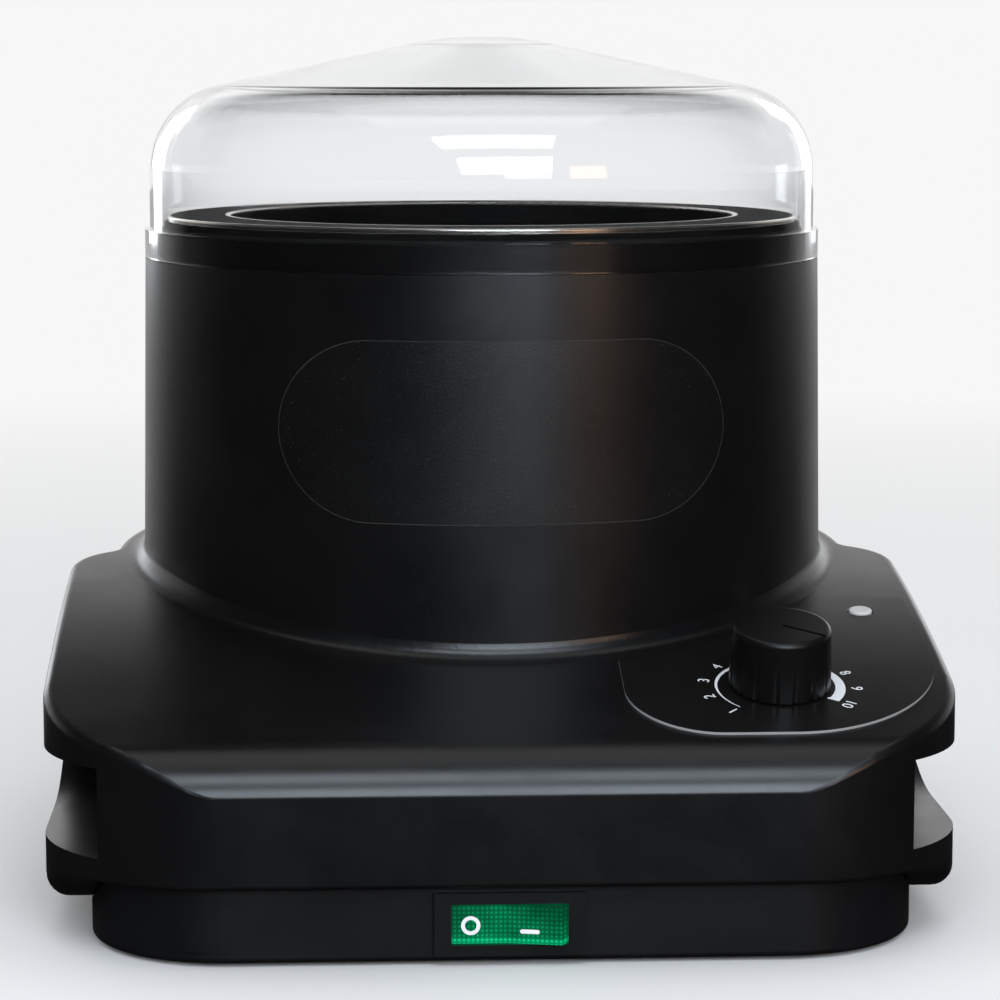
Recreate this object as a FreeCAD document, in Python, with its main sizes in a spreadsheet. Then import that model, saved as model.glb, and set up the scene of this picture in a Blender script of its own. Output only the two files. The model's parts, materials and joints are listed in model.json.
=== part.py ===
import FreeCAD, Part
import math
import os
import re

import Sketcher

# Wax warmer: a round barrel on a crowned deck, a lift-out pot in a heated well, a clear lid.
# Millimetres. Sketches are drawn about the barrel's axis, front towards -Y, table at Z = 0.
SIZES = {
    # plan of the casing
    "body_width": 196,
    "front_reach": 130,
    "apron_margin": 6.7,
    "wing_back": 4,
    "front_corner": 38,
    "wing_corner": 18,
    "wing_root_round": 6,
    "casing_wall": 2.5,
    # crowned deck, rolled over at the front
    "deck_radius": 621,
    "crest_back": 53,
    "crest_height": 71,
    "roll_radius": 13,
    "roll_overrun": 0.3,
    "edge_round": 2,
    # lower edge of the casing: high in front, dipping under the grips
    "front_hem": 17,
    "side_hem": 8,
    "hem_lead": 8,
    "hem_round": 5.5,
    "front_hem_round": 1,
    # barrel
    "barrel_foot": 81.3,
    "barrel_rim": 80,
    "foot_round": 4,
    "lid_seat": 139.7,
    "neck_radius": 77.2,
    "rim_height": 146,
    "ledge_inner": 65,
    # finger grooves in the sides
    "grip_ceiling": 41,
    "grip_floor": 22,
    "grip_depth": 13,
    "grip_end": 26,
    "grip_rise": 58,
    # base pan
    "foot_height": 0.8,
    "plinth_inset": 3.5,
    "plinth_side_inset": 10,
    "plinth_corner": 30,
    "pan_back_corner": 10,
    "pan_wall": 2.5,
    "pan_floor": 2.5,
    "pan_rim": 24,
    "pan_round": 1.2,
    "vent_pitch": 9,
    "vent_width": 3,
    "vent_length": 40,
    "shell_gap": 0.5,
    "hem_gap": 0.4,
    # rim stack, well and pot
    "gasket_thick": 1,
    "gasket_outer": 76,
    "gasket_inner": 68,
    "flange_thick": 1.2,
    "well_flange": 75.5,
    "well_radius": 61.5,
    "well_wall": 1.5,
    "well_depth": 96,
    "well_corner": 8,
    "pot_flange": 74.5,
    "pot_side_gap": 0.6,
    "pot_taper": 1.5,
    "pot_wall": 1.2,
    "pot_rim_round": 0.5,
    "pot_floor_gap": 1,
    "seat_gap": 0.2,
    # lid
    "lid_wall": 2.2,
    "skirt_step": 1.2,
    "skirt_gap": 0.4,
    "lid_side": 14,
    "lid_shoulder": 20,
    "lid_slope": 12,
    "lid_crown": 85,
    # heater and lagging
    "band_height": 24,
    "band_thick": 1.4,
    "band_lift": 10,
    "lug_width": 12,
    "lug_reach": 7,
    "band_split_gap": 1.6,
    "lagging_thick": 3.8,
    "lagging_gap": 2,
    "cutout_radius": 8,
    "cutout_height": 6,
    "cutout_side": 26,
    "cutout_tab": 5,
    "bulb_radius": 2.6,
    "bulb_length": 46,
    "bulb_front": 24,
    "capillary_radius": 0.9,
    "capillary_bend": 9,
    # thermostat, knob and panel on the deck
    "knob_inset": 38.5,
    "knob_setback": 32.5,
    "knob_radius": 11,
    "knob_height": 14.4,
    "knob_draft": 0.5,
    "knob_wall": 1.8,
    "knob_lift": 0.4,
    "knob_round": 1.2,
    "flute_radius": 1.3,
    "flute_depth": 0.35,
    "flute_top": 10.5,
    "pointer_width": 0.8,
    "pointer_depth": 0.5,
    "knob_angle": -34,
    "bush_radius": 4.5,
    "bush_height": 4,
    "bush_gap": 0.1,
    "shaft_radius": 3,
    "shaft_gap": 0.05,
    "shaft_top": 8,
    "shaft_depth": 9,
    "stat_width": 32,
    "stat_length": 30,
    "stat_height": 20,
    "stat_drop": 0.3,
    "nut_flats": 12,
    "nut_height": 2.2,
    "panel_thick": 0.5,
    "panel_left": 26,
    "panel_margin": 3.5,
    "panel_setback": 10.5,
    "panel_length": 73,
    "panel_corner": 20,
    "panel_sweep": 34,
    "panel_barrel_gap": 2.5,
    "panel_hole": 8.6,
    "lens_inset": 14.6,
    "lens_setback": 74,
    "lens_radius": 2.6,
    "lens_dome": 0.5,
    "lens_gap": 0.05,
    "lamp_radius": 3.8,
    "lamp_length": 12,
    # rocker switch in the plinth
    "switch_height": 8.9,
    "bezel_width": 31.3,
    "bezel_height": 13.3,
    "bezel_thick": 1.5,
    "housing_width": 27,
    "housing_height": 10.8,
    "housing_depth": 16,
    "window_width": 24.2,
    "window_height": 8.6,
    "window_depth": 12,
    "cutout_gap": 0.2,
    "rocker_gap": 0.3,
    "rocker_tilt": 6,
    "rocker_sink": 0.4,
    "rocker_pivot": 3.5,
    "rocker_back": 3,
    "pivot_radius": 1.2,
    "pivot_gap": 0.05,
    "tab_width": 4.8,
    "tab_thick": 0.8,
    "tab_length": 7,
    "tab_pitch": 8,
    # mains entry at the rear
    "gland_height": 40,
    "gland_bore": 3.6,
    "gland_body": 6,
    "gland_gap": 0.1,
    "gland_flange": 9,
    "gland_nose": 6.6,
    "gland_collar_thick": 1.6,
    "gland_proud": 4.6,
    "gland_inside": 8,
    "gland_nut_flats": 16,
    "gland_nut_height": 4,
    "niche_depth": 5,
    "niche_width": 28,
    "niche_height": 23,
    # terminal block on the pan's floor
    "block_side": 44,
    "block_setback": 46,
    "block_width": 30,
    "block_length": 16,
    "block_height": 13,
    "wire_hole": 2,
    "clamp_hole": 2.6,
    # feet and fasteners
    "foot_radius": 7,
    "foot_stem": 2,
    "foot_inset": 34,
    "foot_setback": 28,
    "rear_foot_side": 36,
    "rear_foot_back": 60,
    "screw_radius": 1.5,
    "screw_head": 3.2,
    "screw_head_height": 2.4,
    "screw_length": 20,
    "screw_gap": 0.1,
    "boss_radius": 4,
    "boss_foot": 14,
    "post_radius": 5.2,
    "screw_seat": 8,
    "boss_inset": 24,
    "boss_setback": 60,
    "rear_boss_side": 54,
    "rear_boss_back": 54,
    "well_screw_circle": 71,
    "well_screw_radius": 1.25,
    "well_screw_head": 2.3,
    "well_screw_length": 9,
    "well_boss_radius": 3.4,
    "well_boss_height": 7,
}
# Places that follow the casing's sides and front
PLACES = {
    "apron_radius": "barrel_foot + apron_margin",
    "knob_side": "body_width / 2 - knob_inset",
    "knob_back": "knob_setback - front_reach",
    "lens_side": "body_width / 2 - lens_inset",
    "lens_back": "lens_setback - front_reach",
    "panel_right": "body_width / 2 - panel_margin",
    "panel_front": "front_reach - panel_setback",
    "panel_back": "front_reach - panel_setback - panel_length",
    "front_boss_side": "body_width / 2 - boss_inset",
    "front_boss_back": "boss_setback - front_reach",
    "front_foot_side": "body_width / 2 - foot_inset",
    "front_foot_back": "foot_setback - front_reach",
    "block_back": "block_setback - front_reach",
}

Vector = FreeCAD.Vector
Placement = FreeCAD.Placement
Rotation = FreeCAD.Rotation

doc = FreeCAD.newDocument("wax_warmer")
sheet = doc.addObject("Spreadsheet::Sheet", "sizes")
NAMED = SIZES | {place: f"={text}" for place, text in PLACES.items()}
for row, (alias, content) in enumerate(NAMED.items(), 1):
    sheet.set(f"A{row}", alias.replace("_", " "))
    sheet.set(f"B{row}", str(content))
    sheet.setAlias(f"B{row}", alias)
doc.recompute()


# Expressions: plain words are sizes and places
def formula(text):
    return re.sub(r"[a-z_]+", lambda word: f"sizes.{word[0]}" if word[0] in NAMED else word[0], text)


def value(text):
    result = sheet.evalExpression(formula(text))
    return float(getattr(result, "Value", result))


def bind(item, prop, text):
    item.setExpression(prop, formula(text))


# Heights and places that several pieces share
AXIS_BACK = "((front_reach - apron_radius) / 2)"
HALF_WIDTH = "(body_width / 2)"
FLANGE_TOP = "(rim_height + gasket_thick + flange_thick)"
WELL_OUTER = "(well_radius + well_wall)"
WELL_FLOOR = f"({FLANGE_TOP} - well_depth)"
WELL_UNDERSIDE = f"({WELL_FLOOR} - well_wall)"
PAN_FRONT = "(front_reach - plinth_inset)"
PAN_TOP = "(foot_height + pan_floor)"
BAND_TOP = f"({WELL_UNDERSIDE} + band_lift + band_height)"
NICHE_BACK = "(apron_radius - niche_depth)"


def deck_at(back, lift="0"):
    return (f"(crest_height - deck_radius + "
            f"sqrt((deck_radius + {lift})^2 - ({back} - crest_back)^2))")


# Bodies, sketches and features
def new_body(name, placed=True):
    body = doc.addObject("PartDesign::Body", name)
    body.Label = name
    if placed:
        bind(body, "Placement.Base.y", AXIS_BACK)
    return body


def seat_on_deck(item, side, back, shift=AXIS_BACK):
    item.Placement = Placement(Vector(), Rotation(Vector(1, 0, 0), 10))
    bind(item, "Placement.Base.x", side)
    bind(item, "Placement.Base.y", f"{shift} + {back}")
    bind(item, "Placement.Base.z", deck_at(back))
    bind(item, "Placement.Rotation.Angle", f"asin((crest_back - {back}) / deck_radius)")


def new_sketch(body, role, name, height="0"):
    sketch = body.newObject("Sketcher::SketchObject", name)
    plane = [item for item in body.Origin.OriginFeatures if item.Role == role][0]
    sketch.AttachmentSupport = [(plane, "")]
    sketch.MapMode = "FlatFace"
    if height != "0":
        bind(sketch, "AttachmentOffset.Base.z", height)
    return sketch


def fix_point(sketch, edge, end, across, along):
    for kind, text, axis in (("DistanceX", across, -2), ("DistanceY", along, -1)):
        if text == "0":
            sketch.addConstraint(Sketcher.Constraint("PointOnObject", edge, end, axis))
        else:
            index = sketch.addConstraint(Sketcher.Constraint(kind, -1, 1, edge, end, value(text)))
            bind(sketch, f"Constraints[{index}]", text)


def arc_between(start, end, radius, turn):
    chord = end - start
    middle = (start + end) * 0.5
    to_centre = Vector(-chord.y, chord.x, 0).normalize() * turn
    reach = math.sqrt(max(radius ** 2 - (chord.Length / 2) ** 2, 0))
    centre = middle + to_centre * reach
    first, last = (start, end) if turn > 0 else (end, start)
    angles = [math.atan2(point.y - centre.y, point.x - centre.x) for point in (first, last)]
    if angles[1] < angles[0]:
        angles[1] += 2 * math.pi
    return Part.ArcOfCircle(Part.Circle(centre, Vector(0, 0, 1), radius), *angles)


# A closed loop: corners are (across, along), with (radius, turn) added where an arc leads on;
# turn is 1 for a left-hand arc and -1 for a right-hand one
def draw_loop(sketch, corners):
    points = [Vector(value(corner[0]), value(corner[1]), 0) for corner in corners]
    ends = []
    for number, corner in enumerate(corners):
        start = points[number]
        end = points[(number + 1) % len(points)]
        if len(corner) == 2:
            edge = sketch.addGeometry(Part.LineSegment(start, end))
            ends.append((edge, 1, 2))
        else:
            radius, turn = corner[2:]
            edge = sketch.addGeometry(arc_between(start, end, value(radius), turn))
            index = sketch.addConstraint(Sketcher.Constraint("Radius", edge, value(radius)))
            bind(sketch, f"Constraints[{index}]", radius)
            ends.append((edge, 1, 2) if turn > 0 else (edge, 2, 1))
    for number, corner in enumerate(corners):
        edge, start, _ = ends[number]
        before, _, end = ends[number - 1]
        sketch.addConstraint(Sketcher.Constraint("Coincident", before, end, edge, start))
        fix_point(sketch, edge, start, corner[0], corner[1])


def draw_circle(sketch, across, along, radius):
    centre = Vector(value(across), value(along), 0)
    edge = sketch.addGeometry(Part.Circle(centre, Vector(0, 0, 1), value(radius)))
    index = sketch.addConstraint(Sketcher.Constraint("Radius", edge, value(radius)))
    bind(sketch, f"Constraints[{index}]", radius)
    fix_point(sketch, edge, 3, across, along)


def box_corners(left, right, low, high):
    return [(left, low), (right, low), (right, high), (left, high)]


def pad(sketch, length, symmetric=False, backwards=False):
    feature = sketch.getParentGeoFeatureGroup().newObject("PartDesign::Pad", f"{sketch.Name}_pad")
    feature.Profile = sketch
    bind(feature, "Length", length)
    feature.SideType = "Symmetric" if symmetric else "One side"
    feature.Reversed = backwards
    sketch.Visibility = False
    return feature


def pocket(sketch, length=None, backwards=False):
    feature = sketch.getParentGeoFeatureGroup().newObject("PartDesign::Pocket", f"{sketch.Name}_cut")
    feature.Profile = sketch
    if length is None:
        feature.Type = "ThroughAll"
        feature.SideType = "Symmetric"
    else:
        bind(feature, "Length", length)
    feature.Reversed = backwards
    return feature


def revolve(sketch):
    feature = sketch.getParentGeoFeatureGroup().newObject("PartDesign::Revolution", f"{sketch.Name}_turn")
    feature.Profile = sketch
    feature.ReferenceAxis = (sketch, ["V_Axis"])
    feature.Angle = 360
    return feature


def edges_where(shape, test):
    names = []
    for number, edge in enumerate(shape.Edges, 1):
        first, last = edge.ParameterRange
        steps = [first + (last - first) * share for share in (0.02, 0.3, 0.5, 0.7, 0.98)]
        if all(test(edge.valueAt(step)) for step in steps):
            names.append(f"Edge{number}")
    return names


def round_edges(body, name, test, radius):
    doc.recompute()
    base = body.Tip
    feature = body.newObject("PartDesign::Fillet", name)
    feature.Base = (base, edges_where(base.Shape, test))
    bind(feature, "Radius", radius)
    return feature


def combine(kind, name, base, tool, placed=False):
    result = doc.addObject(kind, name)
    result.Label = name
    result.Base = base
    result.Tool = tool
    if placed:
        bind(result, "Placement.Base.y", AXIS_BACK)
    return result


# Plan outline shared by casing, core, grip slides and pan: a block with rounded front and back corners
def plan_block(half, front, corner, back, back_corner):
    return [
        (f"-({half} - {corner})", f"-{front}"),
        (f"{half} - {corner}", f"-{front}", corner, 1),
        (half, f"-({front} - {corner})"),
        (half, f"{back} - {back_corner}", back_corner, 1),
        (f"{half} - {back_corner}", back),
        (f"-({half} - {back_corner})", back, back_corner, 1),
        (f"-{half}", f"{back} - {back_corner}"),
        (f"-{half}", f"-({front} - {corner})", corner, 1),
    ]


# Everything above the deck's profile, inset by a wall: roll-over in front, which meets the front wall
# in a faint crease, then the long crown
def above_deck(inset):
    roll_gap = "(deck_radius - roll_radius)"
    roll_back = "(crest_back + front_reach - roll_radius + roll_overrun)"
    roll_rise = f"sqrt({roll_gap}^2 - {roll_back}^2)"
    share = f"((deck_radius - {inset}) / {roll_gap})"
    centre = "(crest_height - deck_radius)"
    front = f"-(front_reach - {inset})"
    lip = f"sqrt((roll_radius - {inset})^2 - (roll_radius - {inset} - roll_overrun)^2)"
    rear = "(apron_radius + roll_radius)"
    top = "(crest_height + roll_radius)"
    return [
        (front, f"{centre} + {roll_rise} + {lip}", f"roll_radius - {inset}", -1),
        (f"crest_back - {roll_back} * {share}", f"{centre} + {roll_rise} * {share}",
         f"deck_radius - {inset}", -1),
        (rear, deck_at(rear, f"-{inset}")),
        (rear, top),
        ("-(front_reach + roll_radius)", top),
        ("-(front_reach + roll_radius)", f"{centre} + {roll_rise} + {lip}"),
    ]


# Lower edge of the casing: an S-bend from the front wall down to the side lips
def hem_line(drop):
    lead = "(front_reach - hem_lead)"
    turn = "(front_reach - front_corner)"
    run = f"({lead} - {turn})"
    fall = "(front_hem - side_hem)"
    bend = f"({run}^2 + {fall}^2) / (4 * {fall})"
    return [
        ("-(front_reach + hem_lead)", f"front_hem - {drop}"),
        (f"-{lead}", f"front_hem - {drop}", bend, -1),
        (f"-({lead} + {turn}) / 2", f"(front_hem + side_hem) / 2 - {drop}", bend, 1),
        (f"-{turn}", f"side_hem - {drop}"),
        ("apron_radius + hem_lead", f"side_hem - {drop}"),
    ]


# Casing: outer form
form = new_body("casing_form", placed=False)
outline = new_sketch(form, "XY_Plane", "deck_plan")
draw_loop(outline, plan_block(HALF_WIDTH, "front_reach", "front_corner", "wing_back", "wing_corner"))
pad(outline, "crest_height")
apron = new_sketch(form, "XY_Plane", "apron_plan")
draw_circle(apron, "0", "0", "apron_radius")
pad(apron, "crest_height")
crown = new_sketch(form, "YZ_Plane", "deck_crown")
draw_loop(crown, above_deck("0"))
pocket(crown)
hem = new_sketch(form, "YZ_Plane", "hem_profile")
draw_loop(hem, hem_line("0") + [("apron_radius + hem_lead", "-hem_lead"),
                                ("-(front_reach + hem_lead)", "-hem_lead")])
pocket(hem)


def on_plan_edge(point):
    side = abs(point.x)
    back = point.y
    near = 0.02
    half = value(HALF_WIDTH)
    if abs(side - half) < near or abs(math.hypot(side, back) - value("apron_radius")) < near:
        return True
    for reach, corner, sign in (("-front_reach", "front_corner", 1), ("wing_back", "wing_corner", -1)):
        radius = value(corner)
        gap = math.hypot(side - half + radius, back - value(reach) - sign * radius)
        if abs(gap - radius) < near:
            return True
    return False


deck_foot = value(above_deck("0")[0][1])


def on_deck_edge(point):
    return point.z > deck_foot and on_plan_edge(point)


def on_wing_root(point):
    corner = value("wing_corner")
    over = abs(point.x) - value(HALF_WIDTH) + corner
    rise = point.y - value("wing_back") + corner
    outline = math.hypot(over, rise) if over > 0 else rise
    return abs(outline - corner) < 0.02 and abs(math.hypot(point.x, point.y) - value("apron_radius")) < 0.02


round_edges(form, "wing_root", on_wing_root, "wing_root_round")

# Barrel with the stepped neck that the lid drops over
BARREL_ROOT = f"({deck_at('-barrel_foot')} - casing_wall)"
barrel = new_sketch(form, "XZ_Plane", "barrel_profile")
draw_loop(barrel, [
    ("0", BARREL_ROOT),
    ("barrel_foot", BARREL_ROOT),
    ("barrel_rim", "lid_seat"),
    ("neck_radius", "lid_seat"),
    ("neck_radius", "rim_height"),
    ("0", "rim_height"),
])
revolve(barrel)


def on_barrel_foot(point):
    slope = value(f"(barrel_foot - barrel_rim) / (lid_seat - {BARREL_ROOT})")
    wall = value("barrel_foot") - slope * (point.z - value(BARREL_ROOT))
    on_wall = abs(math.hypot(point.x, point.y) - wall) < 0.02
    return on_wall and value(BARREL_ROOT) < point.z < value("crest_height") + 0.1


round_edges(form, "foot_rounding", on_barrel_foot, "foot_round")
round_edges(form, "deck_rounding", on_deck_edge, "edge_round")
doc.recompute()


# Hem rounding grows from a crisp front edge to the full lip under the grips
def hem_radius(point):
    share = (value("front_hem") - point.z) / value("front_hem - side_hem")
    return value("front_hem_round") + share * value("hem_round - front_hem_round")


def across_underside(point):
    return abs(point.x) < 0.01 and -value("front_reach") + 0.01 < point.y < 0


hem_edges = []
for number, edge in enumerate(form.Shape.Edges, 1):
    first, last = edge.ParameterRange
    on_hem = edge.BoundBox.ZMax < value("front_hem") + 0.1
    if on_hem and not across_underside(edge.valueAt((first + last) / 2)):
        hem_edges.append((number, hem_radius(edge.valueAt(first)), hem_radius(edge.valueAt(last))))
outer = doc.addObject("Part::Fillet", "casing_outer")
outer.Base = form
outer.Edges = hem_edges

# Casing: hollow inside, narrower where the finger grooves press in
core = new_body("casing_core", placed=False)
lower_core = new_sketch(core, "XY_Plane", "lower_core")
draw_loop(lower_core, plan_block(f"({HALF_WIDTH} - grip_depth - casing_wall)", "(front_reach - casing_wall)",
                                 "(front_corner - grip_depth - casing_wall)",
                                 "(wing_back - casing_wall)", "(wing_corner - casing_wall)"))
pad(lower_core, "crest_height")
apron_core = new_sketch(core, "XY_Plane", "apron_core")
draw_circle(apron_core, "0", "0", "apron_radius - casing_wall")
pad(apron_core, "crest_height")
wing_core = new_sketch(core, "XY_Plane", "wing_core", "grip_ceiling + casing_wall")
draw_loop(wing_core, plan_block(f"({HALF_WIDTH} - casing_wall)", "(front_reach - casing_wall)",
                                "(front_corner - casing_wall)", "(wing_back - casing_wall)",
                                "(wing_corner - casing_wall)"))
pad(wing_core, "crest_height - grip_ceiling - casing_wall")
under_crown = new_sketch(core, "YZ_Plane", "under_crown")
draw_loop(under_crown, above_deck("casing_wall"))
pocket(under_crown)
barrel_core = new_sketch(core, "XZ_Plane", "barrel_core")
draw_loop(barrel_core, [
    ("0", BARREL_ROOT),
    ("barrel_foot - casing_wall", BARREL_ROOT),
    ("barrel_rim - casing_wall", "lid_seat - casing_wall"),
    ("neck_radius - casing_wall", "lid_seat - casing_wall"),
    ("neck_radius - casing_wall", "rim_height - casing_wall"),
    ("ledge_inner", "rim_height - casing_wall"),
    ("ledge_inner", "rim_height + casing_wall"),
    ("0", "rim_height + casing_wall"),
])
revolve(barrel_core)

# Finger grooves: level roof, flat inner wall that cuts the front corners, floor ramping up at the back
groove = new_body("grip_grooves", placed=False)
RAMP = "sqrt(2 * grip_rise * (grip_ceiling - grip_floor) - (grip_ceiling - grip_floor)^2)"
groove_side = new_sketch(groove, "YZ_Plane", "groove_side")
draw_loop(groove_side, [
    ("-(front_reach + hem_lead)", "grip_floor"),
    (f"-(grip_end + {RAMP})", "grip_floor", "grip_rise", 1),
    ("-grip_end", "grip_ceiling"),
    ("-(front_reach + hem_lead)", "grip_ceiling"),
])
pad(groove_side, "body_width + 2 * hem_lead", symmetric=True)
groove_wall = new_sketch(groove, "XY_Plane", "groove_wall")
draw_loop(groove_wall, box_corners(f"-({HALF_WIDTH} - grip_depth)", f"{HALF_WIDTH} - grip_depth",
                                   "-(front_reach + 2 * hem_lead)", "apron_radius"))
pocket(groove_wall)


# Plain round, square and tapered pieces
TURNS = {
    "up": Rotation(),
    "back": Rotation(Vector(1, 0, 0), -90),
    "front": Rotation(Vector(1, 0, 0), 90),
    "right": Rotation(Vector(0, 1, 0), 90),
}


def set_at(item, place, way):
    item.Placement = Placement(Vector(), TURNS[way])
    for axis, text in zip("xyz", place):
        if text != "0":
            bind(item, f"Placement.Base.{axis}", text)


def cylinder(name, radius, height, place, way="up"):
    item = doc.addObject("Part::Cylinder", name)
    bind(item, "Radius", radius)
    bind(item, "Height", height)
    set_at(item, place, way)
    return item


def cone(name, low, high, height, place, way="up"):
    item = doc.addObject("Part::Cone", name)
    bind(item, "Radius1", low)
    bind(item, "Radius2", high)
    bind(item, "Height", height)
    set_at(item, place, way)
    return item


def block(name, width, length, height, place):
    item = doc.addObject("Part::Box", name)
    bind(item, "Length", width)
    bind(item, "Width", length)
    bind(item, "Height", height)
    set_at(item, place, "up")
    return item


def fuse(name, items, placed=False):
    result = doc.addObject("Part::MultiFuse", name)
    result.Label = name
    result.Shapes = items
    if placed:
        bind(result, "Placement.Base.y", AXIS_BACK)
    return result


def deck_hole(name, radius, side, back):
    hole = new_body(name, placed=False)
    seat_on_deck(hole, side, back, "0")
    outline = new_sketch(hole, "XY_Plane", f"{name}_outline")
    draw_circle(outline, "0", "0", radius)
    pad(outline, "6 * casing_wall", symmetric=True)
    return hole


# Places of screws and feet
def four_places(kind):
    return [(f"{sign}{end}_{kind}_side", f"{end}_{kind}_back")
            for end in ("front", "rear") for sign in ("", "-")]


SCREW_PLACES = four_places("boss")
FOOT_PLACES = four_places("foot")
WELL_SCREW_PLACES = [(f"well_screw_circle * cos({angle})", f"well_screw_circle * sin({angle})")
                     for angle in (30, 150, 270)]


def dots(body, name, places, radius, height="0"):
    sketch = new_sketch(body, "XY_Plane", name, height)
    for across, along in places:
        draw_circle(sketch, across, along, radius)
    return sketch


# Casing: bosses, gland seat and holes
bosses = new_body("casing_bosses", placed=False)
pad(dots(bosses, "front_bosses", SCREW_PLACES[:2], "boss_radius", "boss_foot"),
    f"{deck_at('front_boss_back')} - casing_wall / 2 - boss_foot")
pad(dots(bosses, "rear_bosses", SCREW_PLACES[2:], "boss_radius", "boss_foot"),
    "crest_height + casing_wall - boss_foot")
pad(dots(bosses, "well_bosses", WELL_SCREW_PLACES, "well_boss_radius",
         "rim_height - casing_wall - well_boss_height"), "well_boss_height + casing_wall / 2")
gland_seat = new_sketch(bosses, "XZ_Plane", "gland_seat", f"-({NICHE_BACK} - casing_wall)")
draw_loop(gland_seat, box_corners("-(niche_width / 2 + casing_wall)", "niche_width / 2 + casing_wall",
                                  "gland_height - niche_height / 2 - casing_wall",
                                  "gland_height + niche_height / 2 + casing_wall"))
pad(gland_seat, "niche_depth", backwards=True)
casing_holes = fuse("casing_holes", [
    deck_hole("bush_hole", "bush_radius + bush_gap", "knob_side", "knob_back"),
    deck_hole("lens_hole", "lens_radius + lens_gap", "lens_side", "lens_back"),
    block("gland_niche", "niche_width", "niche_depth + casing_wall", "niche_height",
          ("-niche_width / 2", NICHE_BACK, "gland_height - niche_height / 2")),
    cylinder("gland_hole", "gland_body + gland_gap", "4 * niche_depth",
             ("0", f"{NICHE_BACK} - 2 * niche_depth", "gland_height"), "back"),
    *[cylinder(f"boss_pilot_{number}", "screw_radius + screw_gap", "screw_length",
               (across, along, "boss_foot - screw_gap"))
      for number, (across, along) in enumerate(SCREW_PLACES, 1)],
    *[cylinder(f"well_pilot_{number}", "well_screw_radius + screw_gap", "well_screw_length + casing_wall",
               (across, along, f"{FLANGE_TOP} - well_screw_length - screw_gap"))
      for number, (across, along) in enumerate(WELL_SCREW_PLACES, 1)],
])
shell = combine("Part::Cut", "casing_shell", outer, core)
gripped = combine("Part::Cut", "casing_gripped", shell, groove)
bossed = combine("Part::Fuse", "casing_bossed", gripped, bosses)
top_casing = combine("Part::Cut", "top_casing", bossed, casing_holes, placed=True)

# Base pan: plinth below the casing's hem, rim standing up inside the casing
base_pan = new_body("base_pan")
plinth = new_sketch(base_pan, "XY_Plane", "plinth_plan", "foot_height")
draw_loop(plinth, plan_block(f"({HALF_WIDTH} - plinth_side_inset)", PAN_FRONT, "plinth_corner",
                             "(wing_back - plinth_inset)", "pan_back_corner"))
pad(plinth, "front_hem - foot_height")
plinth_apron = new_sketch(base_pan, "XY_Plane", "plinth_apron", "foot_height")
draw_circle(plinth_apron, "0", "0", "apron_radius - casing_wall - shell_gap")
pad(plinth_apron, "front_hem - foot_height")
plinth_top = new_sketch(base_pan, "YZ_Plane", "plinth_top")
draw_loop(plinth_top, hem_line("hem_gap") + [("apron_radius + hem_lead", "front_hem + hem_lead"),
                                             ("-(front_reach + hem_lead)", "front_hem + hem_lead")])
pocket(plinth_top)


def on_pan_bottom(point):
    return abs(point.z - value("foot_height")) < 0.01


round_edges(base_pan, "pan_bottom", on_pan_bottom, "pan_round")


def rim_plan(inset):
    inside = f"casing_wall - shell_gap - {inset}"
    return plan_block(f"({HALF_WIDTH} - grip_depth - {inside})", f"({PAN_FRONT} - {inset})",
                      f"(front_corner - grip_depth - {inside})",
                      f"(wing_back - {inside})", f"(wing_corner - {inside})")


rim = new_sketch(base_pan, "XY_Plane", "rim_plan", PAN_TOP)
draw_loop(rim, rim_plan("0"))
pad(rim, f"pan_rim - {PAN_TOP}")
rim_apron = new_sketch(base_pan, "XY_Plane", "rim_apron", PAN_TOP)
draw_circle(rim_apron, "0", "0", "apron_radius - casing_wall - shell_gap")
pad(rim_apron, f"pan_rim - {PAN_TOP}")
hollow = new_sketch(base_pan, "XY_Plane", "pan_hollow", "pan_rim")
draw_loop(hollow, rim_plan("pan_wall"))
pocket(hollow, f"pan_rim - {PAN_TOP}")
hollow_apron = new_sketch(base_pan, "XY_Plane", "hollow_apron", "pan_rim")
draw_circle(hollow_apron, "0", "0", "apron_radius - casing_wall - shell_gap - pan_wall")
pocket(hollow_apron, f"pan_rim - {PAN_TOP}")
pad(dots(base_pan, "posts", SCREW_PLACES, "post_radius", f"{PAN_TOP} - pan_floor / 2"),
    f"boss_foot - {PAN_TOP} + pan_floor / 2")
pocket(dots(base_pan, "post_holes", SCREW_PLACES, "screw_radius + screw_gap"))
pocket(dots(base_pan, "head_wells", SCREW_PLACES, "screw_head + 2 * screw_gap"), "screw_seat",
       backwards=True)
pocket(dots(base_pan, "foot_holes", FOOT_PLACES, "foot_stem + screw_gap"))
switch_hole = new_sketch(base_pan, "XZ_Plane", "switch_hole", f"{PAN_FRONT} + pan_wall")
draw_loop(switch_hole, box_corners("-(housing_width / 2 + cutout_gap)", "housing_width / 2 + cutout_gap",
                                   "switch_height - housing_height / 2 - cutout_gap",
                                   "switch_height + housing_height / 2 + cutout_gap"))
pocket(switch_hole, "housing_depth + 2 * pan_wall")
vents = new_sketch(base_pan, "XY_Plane", "vents")
for number in range(-3, 4):
    centre = f"({number} * vent_pitch)"
    draw_loop(vents, box_corners(f"{centre} - vent_width / 2", f"{centre} + vent_width / 2",
                                 "-vent_length / 2", "vent_length / 2"))
pocket(vents)

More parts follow.
